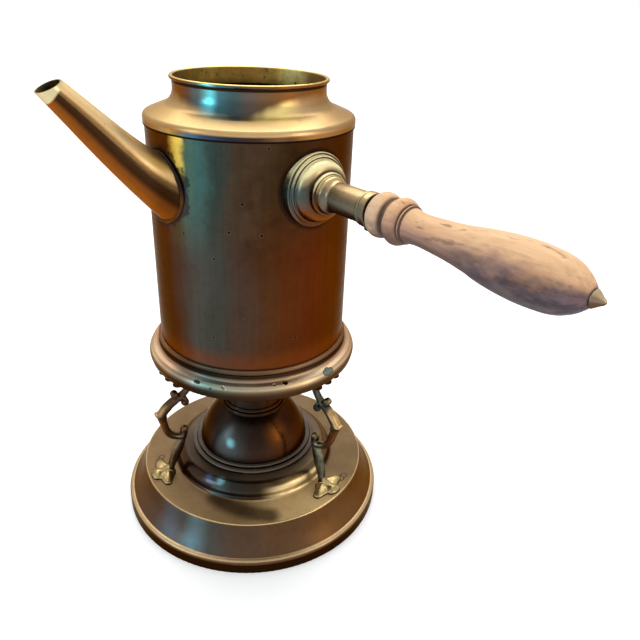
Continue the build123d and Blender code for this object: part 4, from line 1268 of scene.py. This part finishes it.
# Painted reflections round the ring, blue-green beside the spout.
around_rim_reflections = ring.run(ring.turn, [
    (-180, 236, 206, 184), (-130, 240, 212, 190), (-104, 255, 236, 220), (-90, 222, 198, 180),
    (-74, 156, 152, 152), (-60, 146, 184, 198), (-48, 196, 208, 206), (-34, 224, 216, 204),
    (-15, 255, 238, 212), (0, 255, 244, 228), (22, 240, 218, 200), (48, 224, 198, 176), (180, 236, 206, 184),
])
ring.tint(1.0, around_rim_reflections)
drop = ring.marks([(-66.3, 66.4, 125.3, 0.9), (-65.2, 66.4, 125.3, 1.1), (-64.2, 66.5, 125.2, 0.9)], 1.0, 0.3)
ring.coat(drop, (44, 58, 52), 0.5)
patch = [(6.6, 66.6, 125.0, 1.4), (9.0, 66.4, 125.2, 1.9), (11.2, 66.8, 124.8, 1.4), (8.6, 67.0, 124.6, 1.6)]
ring.coat(ring.marks(patch, 1.2, 0.4), (44, 38, 32), 0.5)
ring.coat(ring.marks(patch, 0.92, 0.4), (112, 124, 114), 0.5)
dents = [
    (-57.0, 67.4, 123.8, 0.45), (-51.0, 66.4, 125.2, 0.5), (-50.0, 66.8, 124.6, 0.4),
    (-24.0, 65.0, 126.2, 0.35),
]
ring.coat(ring.marks(dents), (70, 56, 44), 0.5)
ring.lift(ring.marks(dents, 1.0, 0.8), -0.0003)
give(weathered(ring), "gallery_ring", "foot_bead")

# %% [markdown]
# ## The burner
# The burner's brass is baked dark red-brown, and it is smooth, so it still mirrors both windows.
# Their reflections are painted into its colour as well: a broad cool one and a glint beside the
# spout, and a warm one towards the handle. Its flange is dull, and painted lighter on top to lift the
# shade round the burner.

# %% Burner finish
burner = spun_brass(
    "burner_brown",
    [(-1, 30, 16, 10), (0.0, 40, 21, 12), (0.4, 46, 28, 20), (0.62, 34, 22, 18), (1, 60, 44, 34)],
    0.25, 0.6, 24, 18.0,
)
# Painted reflections round the burner: cool beside the spout, warm towards the handle.
burner_window_reflections = burner.run(burner.turn, [
    (-180, 46, 28, 18), (-100, 44, 28, 22), (-70, 54, 50, 47), (-50, 50, 45, 41), (-30, 48, 36, 28),
    (-5, 74, 40, 16), (20, 62, 28, 8), (60, 48, 26, 14), (180, 46, 28, 18),
])
burner.coat(0.65, burner_window_reflections)
# A painted reflection: the broad cool glow of the left window.
glow = burner.marks([(-66.0, 35.4, 56.0, 1.0)], 1.0, 16.0)
burner.coat(glow, (84, 100, 106), share=0.4)
# A painted highlight: the cool glint beside the spout.
cool_painted_glint = burner.marks([(-62.4, 35.0, 57.6, 0.2)], 1.0, 4.6)
burner.coat(cool_painted_glint, (120, 180, 188), share=0.8)
# A painted reflection of the warm right window.
warm_painted_reflection = burner.marks([(-6.5, 32.2, 62.8, 0.5)], 1.0, 12.0)
burner.coat(warm_painted_reflection, (112, 64, 24), share=0.55)
# Painted light on the flange's top that lifts the shade round the burner.
flange_painted_light = burner.where(radius=(43.0, 4.0, 1.0), up=(1.0, 0.6, 0.2))
burner.coat(flange_painted_light, (98, 88, 78), 0.55, 0.35, share=0.75)
give(weathered(burner), "burner_bowl", "burner_dome", "burner_collar", "burner_head", "wick_tube")

# %% [markdown]
# ## The handle's brass
# The rosette, the socket and the ferrule are yellower brass with a bright top and a dull side, which
# are painted light and shade. The rosette's top has a painted highlight, the left side a blue-green
# painted reflection of the cool window, and the tube's sides a grey painted reflection. The point at
# the grip's end is paler still.

# %% Handle finishes
handle = spun_brass(
    "handle_yellow",
    [(-1, 100, 54, 20), (-0.5, 122, 62, 22), (-0.22, 92, 56, 32), (0.0, 66, 48, 34), (0.16, 76, 62, 48),
     (0.4, 184, 162, 118), (0.62, 246, 222, 158), (0.86, 255, 242, 184), (1, 252, 232, 170)],
    0.27, 0.6, 12, 22.0, 0.22,
)
on_tube = handle.where(x=(110.0, 34.0, 4.0))
handle.tint(on_tube, (0.56, 0.48, 0.50))
# A painted reflection on the tube's sides.
tube_side_reflection = handle.both(on_tube, handle.where(up=(-0.1, 0.5, 0.35)))
handle.coat(tube_side_reflection, (112, 110, 96), share=0.6)
# A painted reflection of the cool window on the left side.
left_cool_reflection = handle.where(y=(-24.0, 7.0, 7.0), up=(0.1, 0.3, 0.4))
handle.coat(left_cool_reflection, (66, 90, 92), share=0.5)
# A painted highlight on the rosette's top.
rosette_top_highlight = handle.where(x=(64.5, 6.0, 3.0), up=(1.0, 0.35, 0.3))
handle.coat(rosette_top_highlight, (255, 246, 190), 0.36, 0.35, share=0.8)
give(weathered(handle), "handle_rosette", "handle_socket", "handle_ferrule")
point = spun_brass(
    "finial_ivory",
    [(-1, 84, 62, 46), (-0.2, 90, 72, 56), (0.3, 140, 120, 98), (0.7, 196, 174, 142), (1, 236, 214, 176)],
    0.3, 0.6, 8, 27.0,
)
give(weathered(point), "grip_finial")

# %% [markdown]
# ## The legs' patina
# The castings are darkest in their hollows, which no cloth reaches, and painted shade darkens their
# flat sides. Whatever stands proud is rubbed to gold; the top of the arm and the other upward faces
# are gold too, partly rubbed and partly painted light. The stem carries pale painted highlights.

# %% Leg finish
leg = spun_brass(
    "leg_patina",
    [(-1, 32, 22, 14), (-0.4, 46, 32, 20), (-0.1, 34, 33, 31), (0.12, 34, 42, 44), (0.34, 46, 52, 48),
     (0.6, 78, 68, 48), (1, 122, 104, 70)],
    0.34, 0.4, 6, 25.0,
)
wear = leg.wire("ShaderNodeAttribute", [("attribute_name", "wear")])
proud, creased = leg.wire("ShaderNodeSeparateColor", i0=wear["Color"])[:2]
leg.coat(proud, (206, 178, 118), 0.28, share=0.22)
leg.coat(creased, (28, 24, 20), 0.5)
# Patches that are partly rubbed and partly painted light on upward faces.
rubbed_and_lit_patches = leg.clouds(7.0, 0.42, 0.12, 28.0)
on_top = leg.where(up=(1.0, 0.55, 0.3))
leg.coat(leg.both(rubbed_and_lit_patches, on_top), (214, 186, 122), 0.28, share=0.35)
# The top of the arm: partly rubbed, partly painted light.
outer_arm = leg.where(radius=(72.0, 4.0, 2.0), level=(86.0, 7.0, 4.0), up=(1.0, 0.75, 0.35))
leg.coat(leg.both(outer_arm, leg.clouds(4.5, 0.7, 0.2, 73.0)), (202, 168, 116), 0.28, share=0.85)
stem = leg.where(radius=(60.0, 5.0, 2.0), level=(50.0, 12.0, 4.0))
# Painted highlights on the stem.
stem_painted_highlights = leg.clouds(3.5, 0.5, 0.2, 74.0, (1.0, 1.0, 0.5))
leg.coat(leg.both(stem, stem_painted_highlights), (138, 142, 124), 0.3, share=0.6)
dark_neck = leg.where(radius=(56.0, 8.0, 3.0), level=(104.0, 12.0, 3.0))
leg.coat(dark_neck, (34, 44, 50), 0.3, share=0.7)
brown_one = leg.where(turn=(-103.0, 24.0, 6.0))
leg.coat(brown_one, (92, 60, 38), share=0.5)
red_scroll = leg.where(radius=(70.0, 3.0, 2.0), level=(70.0, 8.0, 5.0))
leg.coat(red_scroll, (112, 56, 24), share=0.5)
leaf_part = leg.where(level=(118.0, 6.0, 3.0))
leg.coat(leaf_part, (50, 27, 15), 0.45)
tell(leg=leg.tree)

# %% [markdown]
# The foot is gold on top, partly rubbed and partly painted light, but for its hollows, and a painted
# contact shade darkens it where it meets the shelf. The small screws, nuts and rivets and the rim's
# wire wear the legs' finish. The solder round the spout is dull and dark, with a warmer lower half.

# %% Foot and solder
# Partly wear, partly painted light on the foot's top.
on_foot = leg.both(leg.where(level=(32.4, 2.0, 2.4)), on_top)
leg.coat(on_foot, (206, 182, 128), 0.3, share=0.8)
foot_hollows = leg.both(on_foot, leg.clouds(3.2, 0.4, 0.12, 75.0))
leg.coat(foot_hollows, (98, 82, 52), 0.4, share=0.65)
dull_foot = leg.both(on_foot, leg.both(leg.where(turn=(-103.0, 24.0, 6.0)), leg.clouds(9.0, 0.6, 0.2, 29.0)))
leg.coat(dull_foot, (96, 80, 54), share=0.4)
# Painted shade where the foot meets the shelf.
foot_contact_shade = leg.where(level=(29.5, 0.5, 0.5))
leg.coat(foot_contact_shade, (30, 22, 16), 0.5)
leg_patina = weathered(leg)
give(leg_patina, *legs, "foot_nuts", "ring_rivets", "socket_screw", "rim_wire")
for casting in leg_pieces:
    casting.data.materials.append(leg_patina)
by_facing = [(-1, 34, 26, 22), (0, 40, 32, 28), (1, 70, 60, 50)]
solder_gray = spun_brass("old_solder", by_facing, 0.5, 0.6, 5, 33.0)
lower_half = solder_gray.where(level=(root_level / MM - 22.0, 16.0, 10.0))
solder_gray.coat(lower_half, (96, 56, 32), share=0.8)
spout_solder.data.materials.append(weathered(solder_gray))

# %% [markdown]
# ## The wood
# The grip is bare fruit wood. Its grain runs along it, so the place is squeezed along the grip before
# the clouds are drawn. The top is bleached and painted lighter, the sides and underside are painted
# darker as painted shade, and the underside of the swell, where the palm closes, is grey and purple
# from sweat and smoke.

# %% Bleached and smoked wood
wood = Finish("turned_wood", 0.62, metallic=0.0)
# The run by facing is partly bleaching and partly painted light and shade.
wood.color = wood.run(wood.up, [
    (-1, 92, 70, 62), (-0.5, 104, 82, 76), (-0.1, 144, 116, 104), (0.2, 186, 150, 128), (0.55, 216, 176, 140),
    (0.8, 230, 192, 150), (1, 234, 196, 152),
])
on_swell = wood.where(x=(202.0, 26.0, 26.0))
low_side = wood.where(up=(-0.6, 0.62, 0.6))
blotch = wood.clouds(20.0, 0.72, 0.25, 61.0, (0.4, 1.0, 1.0))
smoked = wood.both(on_swell, low_side)
wood.coat(wood.both(smoked, blotch), (62, 54, 66), 0.6)
ragged = wood.clouds(8.0, 0.6, 0.12, 67.0, (0.45, 1.0, 1.0))
wood.coat(wood.both(smoked, ragged), (34, 31, 50), 0.6, share=0.65)
pale_streak = wood.clouds(6.0, 0.36, 0.12, 68.0, (0.3, 1.0, 1.0))
wood.coat(wood.both(smoked, pale_streak), (176, 158, 160), 0.6, share=0.2)
tell(wood=wood.tree)

# %% [markdown]
# Over that go the grain, scars, and plum and tan spots along the side. Painted shade darkens the
# turned grooves and the cove, most on their lower side, and the first bead has kept more of its pale
# skin.

# %% Grain and grooves
grain = wood.clouds(3.4, 0.5, 0.22, 62.0, (0.06, 1.0, 1.0))
wood.tint(grain, (0.84, 0.78, 0.72), 0.7)
wood.lift(grain, -0.00008)
fine_grain = wood.clouds(1.2, 0.42, 0.16, 63.0, (0.04, 1.0, 1.0))
wood.tint(fine_grain, (0.80, 0.72, 0.66), 0.55)
wood.lift(fine_grain, -0.00004)
scars = wood.clouds(5.0, 0.27, 0.05, 64.0, (0.3, 1.0, 1.0))
wood.coat(scars, (104, 80, 74), 0.75, share=0.6)
side_band = wood.both(on_swell, wood.where(up=(0.25, 0.35, 0.4)))
plum_spots = wood.both(side_band, wood.clouds(8.0, 0.36, 0.1, 69.0, (0.5, 1.0, 1.0)))
wood.coat(plum_spots, (120, 98, 106), 0.7, share=0.5)
tan_spots = wood.both(side_band, wood.clouds(10.0, 0.4, 0.12, 70.0, (0.6, 1.0, 1.0)))
wood.coat(tan_spots, (176, 130, 98), 0.7, share=0.4)
pinkish = wood.clouds(16.0, 0.45, 0.2, 65.0, (0.5, 1.0, 1.0))
wood.tint(pinkish, (1.0, 0.90, 0.84), 0.8)
in_shade = wood.math("MULTIPLY_ADD", wood.where(up=(-0.3, 0.6, 0.8)), 0.4, 0.55)
# Painted shade in the cove.
shaded_cove = wood.where(x=(socket_mouth + 12.3, 0.9, 1.7))
wood.coat(wood.both(shaded_cove, in_shade), (72, 58, 52), 0.8)
# Painted shade lines in the turned grooves.
for at, half in ((0.9, 0.5), (22.1, 0.3), (23.7, 0.2)):
    groove_shade_line = wood.where(x=(socket_mouth + at, half, 0.5))
    wood.coat(groove_shade_line, (58, 44, 38), 0.8, share=0.85)
worn_gray = wood.both(wood.where(x=(socket_mouth + 12.0, 10.0, 4.0)), wood.clouds(5.0, 0.52, 0.15, 66.0))
wood.tint(worn_gray, (0.72, 0.70, 0.68), 0.35)
first_bead = wood.where(x=(socket_mouth + 4.5, 4.0, 2.5))
pale_skin = wood.both(wood.both(first_bead, wood.where(up=(0.2, 0.5, 0.5))), wood.clouds(6.0, 0.6, 0.3, 72.0))
wood.coat(pale_skin, (226, 194, 160), 0.6, share=0.6)
turned_wood = wood.done()
give(turned_wood, "wooden_grip")
grip.data.materials.append(turned_wood)

# %% [markdown]
# The wick is braided cotton, singed brown where it burned, and the washer is oiled leather.

# %% Wick and washer
cotton = Finish("braided_cotton", 0.9, (214, 204, 178), 0.0)
cotton.coat(cotton.where(level=(high("wick").z / MM, 2.0, 3.0)), (52, 42, 34))
cotton.lift(cotton.clouds(1.4, 0.5, 0.1, 71.0), 0.0002)
give(cotton.done(), "wick")
leather = Finish("oiled_leather", 0.6, (86, 58, 40), 0.0)
leather.tint(leather.clouds(1.0, 0.4, 0.1, 72.0), (0.7, 0.66, 0.6))
give(leather.done(), "head_washer")
